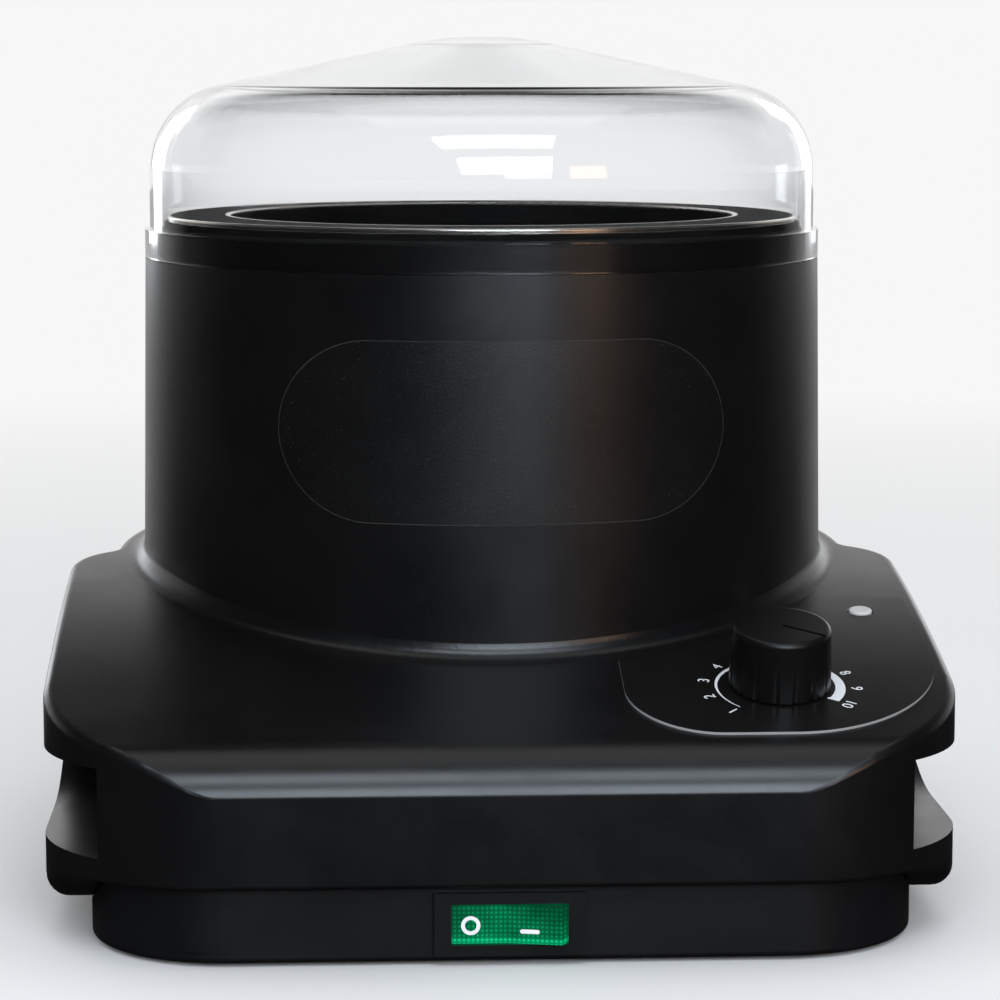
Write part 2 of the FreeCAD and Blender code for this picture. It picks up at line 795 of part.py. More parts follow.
# Rim stack: gasket, heating well and lift-out pot
COUNTERSINKS = [cone(f"countersink_{number}", "well_screw_radius", "well_screw_head", "flange_thick",
                     (across, along, "rim_height + gasket_thick"))
                for number, (across, along) in enumerate(WELL_SCREW_PLACES, 1)]
rim_gasket = new_body("rim_gasket")
gasket_plan = new_sketch(rim_gasket, "XY_Plane", "gasket_plan", "rim_height")
draw_circle(gasket_plan, "0", "0", "gasket_outer")
draw_circle(gasket_plan, "0", "0", "gasket_inner")
pad(gasket_plan, "gasket_thick")
pocket(dots(rim_gasket, "gasket_holes", WELL_SCREW_PLACES, "well_screw_radius + screw_gap"))

well_form = new_body("well_form", placed=False)
well_profile = new_sketch(well_form, "XZ_Plane", "well_profile")
draw_loop(well_profile, [
    ("0", WELL_UNDERSIDE),
    ("well_radius - well_corner", WELL_UNDERSIDE, "well_corner + well_wall", 1),
    (WELL_OUTER, f"{WELL_FLOOR} + well_corner"),
    (WELL_OUTER, "rim_height + gasket_thick"),
    ("well_flange", "rim_height + gasket_thick"),
    ("well_flange", FLANGE_TOP),
    ("well_radius", FLANGE_TOP),
    ("well_radius", f"{WELL_FLOOR} + well_corner", "well_corner", -1),
    ("well_radius - well_corner", WELL_FLOOR),
    ("0", WELL_FLOOR),
])
revolve(well_profile)
countersinks = fuse("countersinks", COUNTERSINKS)
heating_well = combine("Part::Cut", "heating_well", well_form, countersinks, placed=True)

POT_SEAT = f"({FLANGE_TOP} + seat_gap)"
POT_UNDER = f"({WELL_FLOOR} + pot_floor_gap)"
POT_TOP = "(well_radius - pot_side_gap)"
POT_BASE = f"({POT_TOP} - pot_taper)"
wax_pot = new_body("wax_pot")
pot_profile = new_sketch(wax_pot, "XZ_Plane", "pot_profile")
draw_loop(pot_profile, [
    ("0", POT_UNDER),
    (f"{POT_BASE} - well_corner", POT_UNDER, "well_corner", 1),
    (POT_BASE, f"{POT_UNDER} + well_corner"),
    (POT_TOP, POT_SEAT),
    ("pot_flange", POT_SEAT),
    ("pot_flange", f"{POT_SEAT} + flange_thick"),
    (f"{POT_TOP} - pot_wall", f"{POT_SEAT} + flange_thick"),
    (f"{POT_BASE} - pot_wall", f"{POT_UNDER} + well_corner", "well_corner - pot_wall", -1),
    (f"{POT_BASE} - well_corner", f"{POT_UNDER} + pot_wall"),
    ("0", f"{POT_UNDER} + pot_wall"),
])
revolve(pot_profile)


def on_pot_rim(point):
    return abs(point.z - value(f"{POT_SEAT} + flange_thick")) < 0.01


round_edges(wax_pot, "pot_rim", on_pot_rim, "pot_rim_round")

# Lid: skirt flush with the barrel, upright band, rounded shoulder, shallow cone and crown
LID_STEP = "(rim_height + skirt_gap)"
LID_SIDE = "(barrel_rim - skirt_step)"
LID_TOP = f"({LID_STEP} + lid_side)"
SHOULDER_END = (f"({LID_SIDE} - lid_shoulder + lid_shoulder * sin(lid_slope))",
                f"({LID_TOP} + lid_shoulder * cos(lid_slope))")
CROWN_EDGE = ("(lid_crown * sin(lid_slope))",
              f"({SHOULDER_END[1]} + ({SHOULDER_END[0]} - lid_crown * sin(lid_slope)) * tan(lid_slope))")
APEX = f"({CROWN_EDGE[1]} + lid_crown * (1 - cos(lid_slope)))"
lid = new_body("lid")
lid_profile = new_sketch(lid, "XZ_Plane", "lid_profile")
draw_loop(lid_profile, [
    ("neck_radius + skirt_gap", "lid_seat + seat_gap"),
    ("barrel_rim", "lid_seat + seat_gap"),
    ("barrel_rim", LID_STEP),
    (LID_SIDE, LID_STEP),
    (LID_SIDE, LID_TOP, "lid_shoulder", 1),
    SHOULDER_END,
    (*CROWN_EDGE, "lid_crown", 1),
    ("0", APEX),
    ("0", f"{APEX} - lid_wall", "lid_crown - lid_wall", -1),
    (f"{CROWN_EDGE[0]} - lid_wall * sin(lid_slope)", f"{CROWN_EDGE[1]} - lid_wall * cos(lid_slope)"),
    (f"{SHOULDER_END[0]} - lid_wall * sin(lid_slope)", f"{SHOULDER_END[1]} - lid_wall * cos(lid_slope)",
     "lid_shoulder - lid_wall", -1),
    (f"{LID_SIDE} - lid_wall", LID_TOP),
    (f"{LID_SIDE} - lid_wall", LID_STEP),
    ("neck_radius + skirt_gap", LID_STEP),
])
revolve(lid_profile)

# Heater band, lagging, cut-out and sensor round and under the well
heater_band = new_body("heater_band")
band_plan = new_sketch(heater_band, "XY_Plane", "band_plan", f"{WELL_UNDERSIDE} + band_lift")
draw_circle(band_plan, "0", "0", f"{WELL_OUTER} + band_thick")
draw_circle(band_plan, "0", "0", WELL_OUTER)
pad(band_plan, "band_height")
lug = new_sketch(heater_band, "XZ_Plane", "band_lug", f"{WELL_OUTER} + band_thick / 2")
draw_loop(lug, box_corners("-lug_width / 2", "lug_width / 2", f"{BAND_TOP} - band_height + band_thick",
                           f"{BAND_TOP} - band_thick"))
pad(lug, "lug_reach")
split = new_sketch(heater_band, "YZ_Plane", "band_split")
draw_loop(split, box_corners(f"-({WELL_OUTER} + 2 * lug_reach)", f"-({WELL_OUTER} - band_thick)",
                             f"{BAND_TOP} - band_height - band_thick", f"{BAND_TOP} + band_thick"))
pocket(split, "band_split_gap").SideType = "Symmetric"

insulation_sleeve = new_body("insulation_sleeve")
sleeve_plan = new_sketch(insulation_sleeve, "XY_Plane", "sleeve_plan", f"{BAND_TOP} + lagging_gap")
draw_circle(sleeve_plan, "0", "0", f"{WELL_OUTER} + lagging_thick")
draw_circle(sleeve_plan, "0", "0", WELL_OUTER)
pad(sleeve_plan, f"rim_height - casing_wall - 2 * lagging_gap - {BAND_TOP}")

thermal_cutout = new_body("thermal_cutout")
cutout_disc = dots(thermal_cutout, "cutout_disc", [("cutout_side", "0")], "cutout_radius", WELL_UNDERSIDE)
pad(cutout_disc, "cutout_height", backwards=True)
cutout_tabs = new_sketch(thermal_cutout, "XY_Plane", "cutout_tabs", f"{WELL_UNDERSIDE} - cutout_height / 2")
draw_loop(cutout_tabs, box_corners("cutout_side - cutout_tab / 2", "cutout_side + cutout_tab / 2",
                                   "-(cutout_radius + 2 * cutout_tab)", "cutout_radius + 2 * cutout_tab"))
pad(cutout_tabs, "tab_thick")

SENSOR_BACK = f"({AXIS_BACK} - bulb_front)"
SENSOR_HEIGHT = f"({WELL_UNDERSIDE} - bulb_radius)"
sensor_bulb = cylinder("sensor_bulb", "bulb_radius", "bulb_length",
                       ("-bulb_length / 2", SENSOR_BACK, SENSOR_HEIGHT), "right")

# Capillary thermostat, set square to the deck under the knob
thermostat_body = new_body("thermostat_body", placed=False)
seat_on_deck(thermostat_body, "knob_side", "knob_back")
stat_plan = new_sketch(thermostat_body, "XY_Plane", "stat_plan", "-(casing_wall + stat_drop)")
draw_loop(stat_plan, box_corners("-stat_width / 2", "stat_width / 2", "-stat_length / 2", "stat_length / 2"))
pad(stat_plan, "stat_height", backwards=True)
bush = dots(thermostat_body, "bush", [("0", "0")], "bush_radius", "bush_height")
pad(bush, "bush_height + casing_wall + 2 * stat_drop", backwards=True)
pocket(dots(thermostat_body, "bush_bore", [("0", "0")], "shaft_radius + shaft_gap", "bush_height"),
       "bush_height + shaft_depth")

# Capillary: along from the bulb, round an elbow and down to the thermostat's rear face
STAT_BACK = "(knob_back + stat_length / 2 - casing_wall)"
STAT_ENTRY = f"({deck_at(STAT_BACK)} - casing_wall - stat_drop - stat_height / 2)"
ELBOW_FRONT = "(bulb_front + capillary_bend)"
RUN = f"(-{ELBOW_FRONT} - {STAT_BACK})"
FALL = f"({SENSOR_HEIGHT} - {STAT_ENTRY})"
elbow = doc.addObject("Part::Torus", "capillary_elbow")
bind(elbow, "Radius1", "capillary_bend")
bind(elbow, "Radius2", "capillary_radius")
elbow.Angle3 = 90
set_at(elbow, ("knob_side - capillary_bend", f"{SENSOR_BACK} - capillary_bend", SENSOR_HEIGHT), "up")
kink = doc.addObject("Part::Sphere", "capillary_kink")
bind(kink, "Radius", "capillary_radius")
set_at(kink, ("knob_side", f"{SENSOR_BACK} - capillary_bend", SENSOR_HEIGHT), "up")
drop = cylinder("capillary_drop", "capillary_radius", f"sqrt({RUN}^2 + {FALL}^2)",
                ("knob_side", f"{SENSOR_BACK} - capillary_bend", SENSOR_HEIGHT), "front")
bind(drop, "Placement.Rotation.Angle", f"90 deg + atan({FALL} / {RUN})")
capillary = fuse("capillary_run", [
    cylinder("capillary_side", "capillary_radius", "knob_side - capillary_bend - bulb_length / 2",
             ("bulb_length / 2", SENSOR_BACK, SENSOR_HEIGHT), "right"),
    elbow,
    kink,
    drop,
])
capillary_tube = combine("Part::Cut", "capillary_tube", capillary, thermostat_body)


def hexagon(flats):
    half = f"({flats} / 2)"
    corner = f"({flats} / sqrt(3))"
    return [(corner, "0"), (f"{corner} / 2", half), (f"-{corner} / 2", half),
            (f"-{corner}", "0"), (f"-{corner} / 2", f"-{half}"), (f"{corner} / 2", f"-{half}")]


thermostat_nut = new_body("thermostat_nut", placed=False)
seat_on_deck(thermostat_nut, "knob_side", "knob_back")
nut_plan = new_sketch(thermostat_nut, "XY_Plane", "nut_plan")
draw_loop(nut_plan, hexagon("nut_flats"))
draw_circle(nut_plan, "0", "0", "bush_radius + bush_gap")
pad(nut_plan, "nut_height")

thermostat_shaft = new_body("thermostat_shaft", placed=False)
seat_on_deck(thermostat_shaft, "knob_side", "knob_back")
pad(dots(thermostat_shaft, "shaft_plan", [("0", "0")], "shaft_radius", "shaft_top"),
    "shaft_top + shaft_depth - knob_lift", backwards=True)

# Knob: fluted side, rounded crown and a pointer line from its middle to its edge
KNOB_FOOT = "(panel_thick + knob_lift)"
control_knob = new_body("control_knob", placed=False)
seat_on_deck(control_knob, "knob_side", "knob_back")
knob_profile = new_sketch(control_knob, "XZ_Plane", "knob_profile")
draw_loop(knob_profile, [
    ("shaft_radius + shaft_gap", "bush_height + knob_lift"),
    ("knob_radius - knob_wall", "bush_height + knob_lift"),
    ("knob_radius - knob_wall", KNOB_FOOT),
    ("knob_radius", KNOB_FOOT),
    ("knob_radius - knob_draft", "knob_height"),
    ("0", "knob_height"),
    ("0", "shaft_top + shaft_gap"),
    ("shaft_radius + shaft_gap", "shaft_top + shaft_gap"),
])
revolve(knob_profile)


def on_knob_edge(point):
    return abs(point.z - value("knob_height")) < 0.01


round_edges(control_knob, "knob_crown", on_knob_edge, "knob_round")
FLUTE_CIRCLE = "(knob_radius - flute_depth + flute_radius)"
FLUTES = [(f"{FLUTE_CIRCLE} * cos({number} * 22.5 + knob_angle)",
           f"{FLUTE_CIRCLE} * sin({number} * 22.5 + knob_angle)") for number in range(16)]
pocket(dots(control_knob, "flutes", FLUTES, "flute_radius", "flute_top"), "flute_top")
pointer = new_sketch(control_knob, "XY_Plane", "pointer_line", "knob_height")
draw_loop(pointer, [(f"({along}) * cos(knob_angle) - ({across}) * sin(knob_angle)",
                     f"({along}) * sin(knob_angle) + ({across}) * cos(knob_angle)")
                    for along, across in box_corners("0", "knob_radius", "-pointer_width / 2",
                                                     "pointer_width / 2")])
pocket(pointer, "pointer_depth")

# Printed panel following the crown, trimmed round the barrel's foot
control_overlay = new_body("control_overlay")
strip = new_sketch(control_overlay, "YZ_Plane", "panel_strip")
STRIP_FRONT = "-(panel_front + panel_thick)"
STRIP_BACK = "-(panel_back - panel_thick)"
draw_loop(strip, [
    (STRIP_FRONT, deck_at(STRIP_FRONT), "deck_radius", -1),
    (STRIP_BACK, deck_at(STRIP_BACK)),
    (STRIP_BACK, deck_at(STRIP_BACK, "panel_thick"), "deck_radius + panel_thick", 1),
    (STRIP_FRONT, deck_at(STRIP_FRONT, "panel_thick")),
])
pad(strip, "panel_right + panel_thick")
trim = new_sketch(control_overlay, "XY_Plane", "panel_trim")
draw_loop(trim, box_corners("-panel_left", "2 * panel_right", "-2 * panel_front", "panel_back"))
draw_loop(trim, [
    ("panel_left + panel_corner", "-panel_front"),
    ("panel_right - panel_sweep", "-panel_front", "panel_sweep", 1),
    ("panel_right", "-(panel_front - panel_sweep)"),
    ("panel_right", "-(panel_back + lens_radius)", "lens_radius", 1),
    ("panel_right - lens_radius", "-panel_back"),
    ("panel_left", "-panel_back"),
    ("panel_left", "-(panel_front - panel_corner)", "panel_corner", 1),
])
pocket(trim)
pocket(dots(control_overlay, "panel_foot_cut", [("0", "0")], "barrel_foot + foot_round + panel_barrel_gap"))
pocket(dots(control_overlay, "panel_knob_hole", [("knob_side", "knob_back")], "panel_hole"))
pocket(dots(control_overlay, "panel_lens_hole", [("lens_side", "lens_back")], "lens_radius + lens_dome"))

# Indicator lens with its lamp behind
indicator_lens = new_body("indicator_lens", placed=False)
seat_on_deck(indicator_lens, "lens_side", "lens_back")
LENS_FLANGE = "(casing_wall + stat_drop)"
pad(dots(indicator_lens, "lens_flange", [("0", "0")], "lamp_radius", f"-{LENS_FLANGE}"),
    "lens_dome * 2", backwards=True)
pad(dots(indicator_lens, "lens_stem", [("0", "0")], "lens_radius", f"-{LENS_FLANGE}"),
    f"{LENS_FLANGE} + panel_thick + lens_dome")


def on_lens_rim(point):
    return point.z > value("panel_thick")


round_edges(indicator_lens, "lens_face", on_lens_rim, "lens_dome")
indicator_lamp = new_body("indicator_lamp", placed=False)
seat_on_deck(indicator_lamp, "lens_side", "lens_back")
pad(dots(indicator_lamp, "lamp_plan", [("0", "0")], "lamp_radius", f"-({LENS_FLANGE} + 2 * lens_dome)"),
    "lamp_length", backwards=True)

# Rocker switch: the frame's window ends are arcs about the rocker's pivot
PIVOT = f"({PAN_FRONT} - rocker_pivot)"
PIVOT_FRONT = "(rocker_pivot + bezel_thick)"
WINDOW_SWEEP = f"sqrt((window_width / 2)^2 + {PIVOT_FRONT}^2)"
WINDOW_BACK = f"(window_depth - {PIVOT_FRONT})"
BACK_REACH = f"sqrt((window_width / 2)^2 + {PIVOT_FRONT}^2 - {WINDOW_BACK}^2)"
switch_frame = new_body("switch_frame")


def face_box(body, name, width, height, depth):
    sketch = new_sketch(body, "XZ_Plane", name, depth)
    draw_loop(sketch, box_corners(f"-{width} / 2", f"{width} / 2", f"switch_height - {height} / 2",
                                  f"switch_height + {height} / 2"))
    return sketch


pad(face_box(switch_frame, "bezel", "bezel_width", "bezel_height", PAN_FRONT), "bezel_thick")
pad(face_box(switch_frame, "housing", "housing_width", "housing_height", PAN_FRONT), "housing_depth",
    backwards=True)
window = new_sketch(switch_frame, "XY_Plane", "window", "switch_height - window_height / 2")
WINDOW_FRONT = f"-({PAN_FRONT} + bezel_thick)"
draw_loop(window, [
    ("-window_width / 2", f"{WINDOW_FRONT} - bezel_thick"),
    ("window_width / 2", f"{WINDOW_FRONT} - bezel_thick"),
    ("window_width / 2", WINDOW_FRONT, WINDOW_SWEEP, 1),
    (BACK_REACH, f"{WINDOW_BACK} - {PIVOT}"),
    (f"-{BACK_REACH}", f"{WINDOW_BACK} - {PIVOT}", WINDOW_SWEEP, 1),
    ("-window_width / 2", WINDOW_FRONT),
])
pocket(window, "window_height", backwards=True)
pocket(dots(switch_frame, "pivot_holes", [("0", f"-{PIVOT}")], "pivot_radius + pivot_gap"))

rocker = new_body("rocker", placed=False)
rocker.Placement = Placement(Vector(), Rotation(Vector(0, 0, -1), 1))
bind(rocker, "Placement.Base.y", f"{AXIS_BACK} - {PIVOT}")
bind(rocker, "Placement.Base.z", "switch_height")
bind(rocker, "Placement.Rotation.Angle", "rocker_tilt")
ROCKER_SWEEP = f"({WINDOW_SWEEP} - rocker_gap)"
ROCKER_DIP = f"(({PIVOT_FRONT} - rocker_sink) / cos(rocker_tilt))"
FACE_REACH = (f"((sqrt({ROCKER_SWEEP}^2 - ({ROCKER_DIP} * cos(rocker_tilt))^2)"
              f" - {ROCKER_DIP} * sin(rocker_tilt)) * cos(rocker_tilt))")
FACE_RISE = f"({ROCKER_DIP} + {FACE_REACH} * tan(rocker_tilt))"
HEEL_REACH = f"sqrt({ROCKER_SWEEP}^2 - rocker_back^2)"
rocker_plan = new_sketch(rocker, "XY_Plane", "rocker_plan")
draw_loop(rocker_plan, [
    ("0", f"-{ROCKER_DIP}"),
    (FACE_REACH, f"-{FACE_RISE}", ROCKER_SWEEP, 1),
    (HEEL_REACH, "rocker_back"),
    (f"-{HEEL_REACH}", "rocker_back", ROCKER_SWEEP, 1),
    (f"-{FACE_REACH}", f"-{FACE_RISE}"),
])
pad(rocker_plan, "window_height - 2 * rocker_gap", symmetric=True)
pad(dots(rocker, "pivot_pins", [("0", "0")], "pivot_radius"), "housing_height - rocker_gap", symmetric=True)

switch_terminals = new_body("switch_terminals")
tabs = new_sketch(switch_terminals, "XZ_Plane", "tabs", f"{PAN_FRONT} - housing_depth")
for number in (-1, 0, 1):
    middle = f"{number} * tab_pitch"
    draw_loop(tabs, box_corners(f"{middle} - tab_width / 2", f"{middle} + tab_width / 2",
                                "switch_height - tab_thick / 2", "switch_height + tab_thick / 2"))
pad(tabs, "tab_length", backwards=True)

# Terminal block on the pan's floor
terminal_block = new_body("terminal_block")
block_plan = new_sketch(terminal_block, "XY_Plane", "block_plan", PAN_TOP)
draw_loop(block_plan, box_corners("-(block_side + block_width / 2)", "-(block_side - block_width / 2)",
                                  "block_back - block_length / 2", "block_back + block_length / 2"))
pad(block_plan, "block_height")
WAYS = [f"({number} * block_width / 3 - block_side)" for number in (-1, 0, 1)]
pocket(dots(terminal_block, "clamp_wells", [(way, "block_back") for way in WAYS], "clamp_hole",
            f"{PAN_TOP} + block_height"), "block_height / 2")
wire_ways = new_sketch(terminal_block, "XZ_Plane", "wire_ways")
for way in WAYS:
    draw_circle(wire_ways, way, f"{PAN_TOP} + block_height / 2", "wire_hole")
pocket(wire_ways)

# Mains entry: gland and its nut
GLAND_INSIDE = f"({NICHE_BACK} - casing_wall)"
gland_solid = fuse("gland_solid", [
    cylinder("gland_barrel", "gland_body", "gland_inside + casing_wall",
             ("0", f"{GLAND_INSIDE} - gland_inside", "gland_height"), "back"),
    cylinder("gland_collar", "gland_flange", "gland_collar_thick",
             ("0", NICHE_BACK, "gland_height"), "back"),
    cone("gland_cone", "gland_nose + gland_gap * 4", "gland_nose - gland_gap * 4", "gland_proud",
         ("0", NICHE_BACK, "gland_height"), "back"),
])
gland_way = cylinder("gland_way", "gland_bore", "4 * niche_depth + gland_inside",
                     ("0", f"{GLAND_INSIDE} - gland_inside - niche_depth", "gland_height"), "back")
cable_gland = combine("Part::Cut", "cable_gland", gland_solid, gland_way, placed=True)

gland_nut = new_body("gland_nut")
gland_nut_plan = new_sketch(gland_nut, "XZ_Plane", "gland_nut_plan", f"-{GLAND_INSIDE}")
draw_loop(gland_nut_plan, [(across, f"gland_height + {along}")
                           for across, along in hexagon("gland_nut_flats")])
draw_circle(gland_nut_plan, "0", "gland_height", "gland_body + gland_gap")
pad(gland_nut_plan, "gland_nut_height")

# Feet and fasteners
feet = new_body("feet")
pad(dots(feet, "foot_pads", FOOT_PLACES, "foot_radius"), "foot_height")
pad(dots(feet, "foot_stems", FOOT_PLACES, "foot_stem", "foot_height / 2"), f"{PAN_TOP} + foot_height / 2")

casing_screws = new_body("casing_screws")
pad(dots(casing_screws, "screw_heads", SCREW_PLACES, "screw_head", "screw_seat"),
    "screw_head_height", backwards=True)
pad(dots(casing_screws, "screw_shanks", SCREW_PLACES, "screw_radius", "screw_seat - screw_gap"),
    "screw_length")

well_screws = fuse("well_screws", [
    *COUNTERSINKS,
    *[cylinder(f"well_shank_{number}", "well_screw_radius", "well_screw_length - flange_thick / 2",
               (across, along, f"{FLANGE_TOP} - well_screw_length"))
      for number, (across, along) in enumerate(WELL_SCREW_PLACES, 1)],
], placed=True)

# Every piece sound before any is written
PIECES = [
    lid, top_casing, base_pan, control_knob, control_overlay, indicator_lens, switch_frame, rocker,
    heating_well, wax_pot, rim_gasket, heater_band, insulation_sleeve, thermostat_body,
    thermostat_shaft, thermostat_nut, sensor_bulb, capillary_tube, thermal_cutout, indicator_lamp,
    switch_terminals, terminal_block, cable_gland, gland_nut, feet, casing_screws, well_screws,
]
doc.recompute()
for item in doc.Objects:
    if "Invalid" in item.State or "Error" in item.State:
        raise RuntimeError(f"{item.Name} did not build: {item.State}")
for piece in PIECES:
    if piece.Shape.isNull() or not piece.Shape.isValid():
        raise RuntimeError(f"{piece.Label} has no sound shape")

os.makedirs("parts", exist_ok=True)
for piece in PIECES:
    piece.Shape.exportStep(f"parts/{piece.Label}.step")
print(len(PIECES), "pieces written")
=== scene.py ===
import json
import math

import bpy
from mathutils import Matrix, Vector


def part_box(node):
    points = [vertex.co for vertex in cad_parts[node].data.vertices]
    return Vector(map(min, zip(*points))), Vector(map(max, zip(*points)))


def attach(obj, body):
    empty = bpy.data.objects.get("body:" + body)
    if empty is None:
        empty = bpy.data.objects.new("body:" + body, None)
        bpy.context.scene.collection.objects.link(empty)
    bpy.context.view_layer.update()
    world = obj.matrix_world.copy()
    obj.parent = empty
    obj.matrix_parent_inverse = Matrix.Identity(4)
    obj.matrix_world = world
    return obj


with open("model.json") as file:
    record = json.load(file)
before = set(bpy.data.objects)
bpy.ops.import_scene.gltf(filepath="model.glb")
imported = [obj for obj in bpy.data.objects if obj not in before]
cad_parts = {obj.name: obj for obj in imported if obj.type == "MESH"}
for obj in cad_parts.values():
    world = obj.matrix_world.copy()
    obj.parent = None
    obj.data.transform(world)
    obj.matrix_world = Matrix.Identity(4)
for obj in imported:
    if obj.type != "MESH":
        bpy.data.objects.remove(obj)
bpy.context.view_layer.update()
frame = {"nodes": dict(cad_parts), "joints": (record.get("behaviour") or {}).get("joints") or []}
nodes = frame["nodes"]
joints = {joint["name"]: joint for joint in frame["joints"]}
scene = bpy.context.scene
scene.view_settings.view_transform = "Standard"
barrelAxis = Vector((0, 0.021, 0))
nearZero = 1e-6
samePlace = 1e-7
inkGap = 0.00002  # between a printed mark and the face under it
noiseSpan = (0.3, 0.7)  # where most values of a noise lie
mottleSpan = (0.35, 0.65)  # the same for a mottle, with more contrast
print("frame loaded:", len(nodes), "nodes")


# modelling helpers
def pickNone():
    if bpy.context.object and bpy.context.object.mode != "OBJECT":
        bpy.ops.object.mode_set(mode="OBJECT")
    bpy.ops.object.select_all(action="DESELECT")


def pickOnly(piece):
    pickNone()
    piece.select_set(True)
    bpy.context.view_layer.objects.active = piece


def nameNew(name):
    piece = bpy.context.object
    piece.name = name
    piece.data.name = name
    return piece


def editVerts(piece, test):  # picks vertices by place and stays in edit mode
    bpy.ops.object.mode_set(mode="EDIT")
    bpy.ops.mesh.select_mode(type="VERT")
    bpy.ops.mesh.select_all(action="DESELECT")
    bpy.ops.object.mode_set(mode="OBJECT")
    for vert in piece.data.vertices:
        vert.select = test(vert.co)
    bpy.ops.object.mode_set(mode="EDIT")


def leaveEdit():
    bpy.ops.object.mode_set(mode="OBJECT")


def faceUp(piece, direction):  # turns an open sheet so that it faces the given way
    total = sum((face.normal * face.area for face in piece.data.polygons), Vector())
    if total.dot(Vector(direction)) < 0:
        bpy.ops.object.mode_set(mode="EDIT")
        bpy.ops.mesh.select_all(action="SELECT")
        bpy.ops.mesh.flip_normals()
        leaveEdit()


def setPlace(piece, matrix):
    pickOnly(piece)
    piece.matrix_world = matrix
    bpy.ops.object.transform_apply(location=True, rotation=True, scale=True)


def addModifier(piece, kind, **values):
    bpy.context.view_layer.objects.active = piece
    modifier = piece.modifiers.new(kind.title(), kind)
    for key, item in values.items():
        setattr(modifier, key, item)
    bpy.ops.object.modifier_apply(modifier=modifier.name)


def addStadium(name, length, height, corners):
    pickNone()
    bpy.ops.mesh.primitive_circle_add(vertices=corners, radius=height / 2, fill_type="NGON")
    piece = nameNew(name)
    for side in (1, -1):
        editVerts(piece, lambda co: co.x * side > nearZero)
        bpy.ops.transform.translate(value=(side * (length - height) / 2, 0, 0))
        leaveEdit()
    return piece


def smoothPiece(piece, degrees):
    pickOnly(piece)
    bpy.ops.object.shade_smooth_by_angle(angle=math.radians(degrees))


def joinPieces(pieces, name):
    pickNone()
    for piece in pieces:
        piece.select_set(True)
    bpy.context.view_layer.objects.active = pieces[0]
    bpy.ops.object.join()
    return nameNew(name)


def layOnto(piece, target, axis, positive, thick):  # drops a flat mark on a node and gives it body
    pickOnly(piece)
    addModifier(piece, "SHRINKWRAP", target=nodes[target], wrap_method="PROJECT",
                use_project_x=axis == "x", use_project_y=axis == "y", use_project_z=axis == "z",
                use_positive_direction=positive, use_negative_direction=not positive, offset=inkGap)
    addModifier(piece, "SOLIDIFY", thickness=thick, offset=1)


# node helpers
def addNode(tree, kind, **values):
    node = tree.nodes.new(kind)
    for key, item in values.items():
        if hasattr(node, key):
            setattr(node, key, item)
        else:
            node.inputs[key.replace("_", " ").title()].default_value = item
    return node


def feed(tree, socket, item):  # sets a number or a colour, or links an output
    if isinstance(item, (int, float, tuple)):
        socket.default_value = item
    else:
        tree.links.new(item, socket)


def addMath(tree, operation, first, second=None):
    node = addNode(tree, "ShaderNodeMath", operation=operation)
    feed(tree, node.inputs[0], first)
    if second is not None:
        feed(tree, node.inputs[1], second)
    return node.outputs[0]


def addRange(tree, source, low, high, toLow, toHigh):
    node = addNode(tree, "ShaderNodeMapRange")
    tree.links.new(source, node.inputs["Value"])
    for label, item in (("From Min", low), ("From Max", high), ("To Min", toLow), ("To Max", toHigh)):
        node.inputs[label].default_value = item
    return node.outputs["Result"]


def addNoise(tree, vector, **values):
    node = addNode(tree, "ShaderNodeTexNoise", **values)
    tree.links.new(vector, node.inputs["Vector"])
    return node


def splitAxes(tree, vector):
    node = addNode(tree, "ShaderNodeSeparateXYZ")
    tree.links.new(vector, node.inputs[0])
    return node.outputs


# sockets of a Mix node: first, second and result
mixSockets = {"RGBA": (6, 7, 2), "FLOAT": (2, 3, 0)}


def addMix(tree, kind, mask, first, second):
    node = addNode(tree, "ShaderNodeMix", data_type=kind)
    low, high, result = mixSockets[kind]
    tree.links.new(mask, node.inputs[0])
    feed(tree, node.inputs[low], first)
    feed(tree, node.inputs[high], second)
    return node.outputs[result]


def mixColour(tree, mask, first, second):
    first, second = ((*item, 1) if isinstance(item, tuple) else item for item in (first, second))
    return addMix(tree, "RGBA", mask, first, second)


# shared shader effects: a vector and some numbers go in, numbers come out
def newGroup(name, inputs, outputs):
    group = bpy.data.node_groups.new(name, "ShaderNodeTree")
    group.interface.new_socket("Vector", in_out="INPUT", socket_type="NodeSocketVector")
    for label, start in inputs.items():
        socket = group.interface.new_socket(label, in_out="INPUT", socket_type="NodeSocketFloat")
        if start is not None:
            socket.default_value = start
    for label in outputs:
        group.interface.new_socket(label, in_out="OUTPUT", socket_type="NodeSocketFloat")
    return group, group.nodes.new("NodeGroupInput"), group.nodes.new("NodeGroupOutput")


# spark-eroded grain of a moulding, with a slow mottle in the tone
grainLook = {"fine": dict(detail=3.0, roughness=0.6), "patch": dict(detail=4.0, roughness=0.55),
             "fineShare": 0.35, "patchShare": 0.65, "patchScale": 45.0}


def makeMouldGrain():
    tree, source, sink = newGroup("mouldGrain", {"Grain": None, "Patch": grainLook["patchScale"]},
                                  ("Height", "Mottle"))
    fine = addNoise(tree, source.outputs["Vector"], **grainLook["fine"])
    patch = addNoise(tree, source.outputs["Vector"], **grainLook["patch"])
    tree.links.new(source.outputs["Grain"], fine.inputs["Scale"])
    tree.links.new(source.outputs["Patch"], patch.inputs["Scale"])
    mixed = addMath(tree, "ADD", addMath(tree, "MULTIPLY", fine.outputs["Fac"], grainLook["fineShare"]),
                    addMath(tree, "MULTIPLY", patch.outputs["Fac"], grainLook["patchShare"]))
    tree.links.new(fine.outputs["Fac"], sink.inputs["Height"])
    tree.links.new(mixed, sink.inputs["Mottle"])
    return tree


# fine rings left by spinning or turning, about the local Z axis
ringLook = {"drift": dict(scale=900.0, detail=3.0), "waveShare": 0.4}


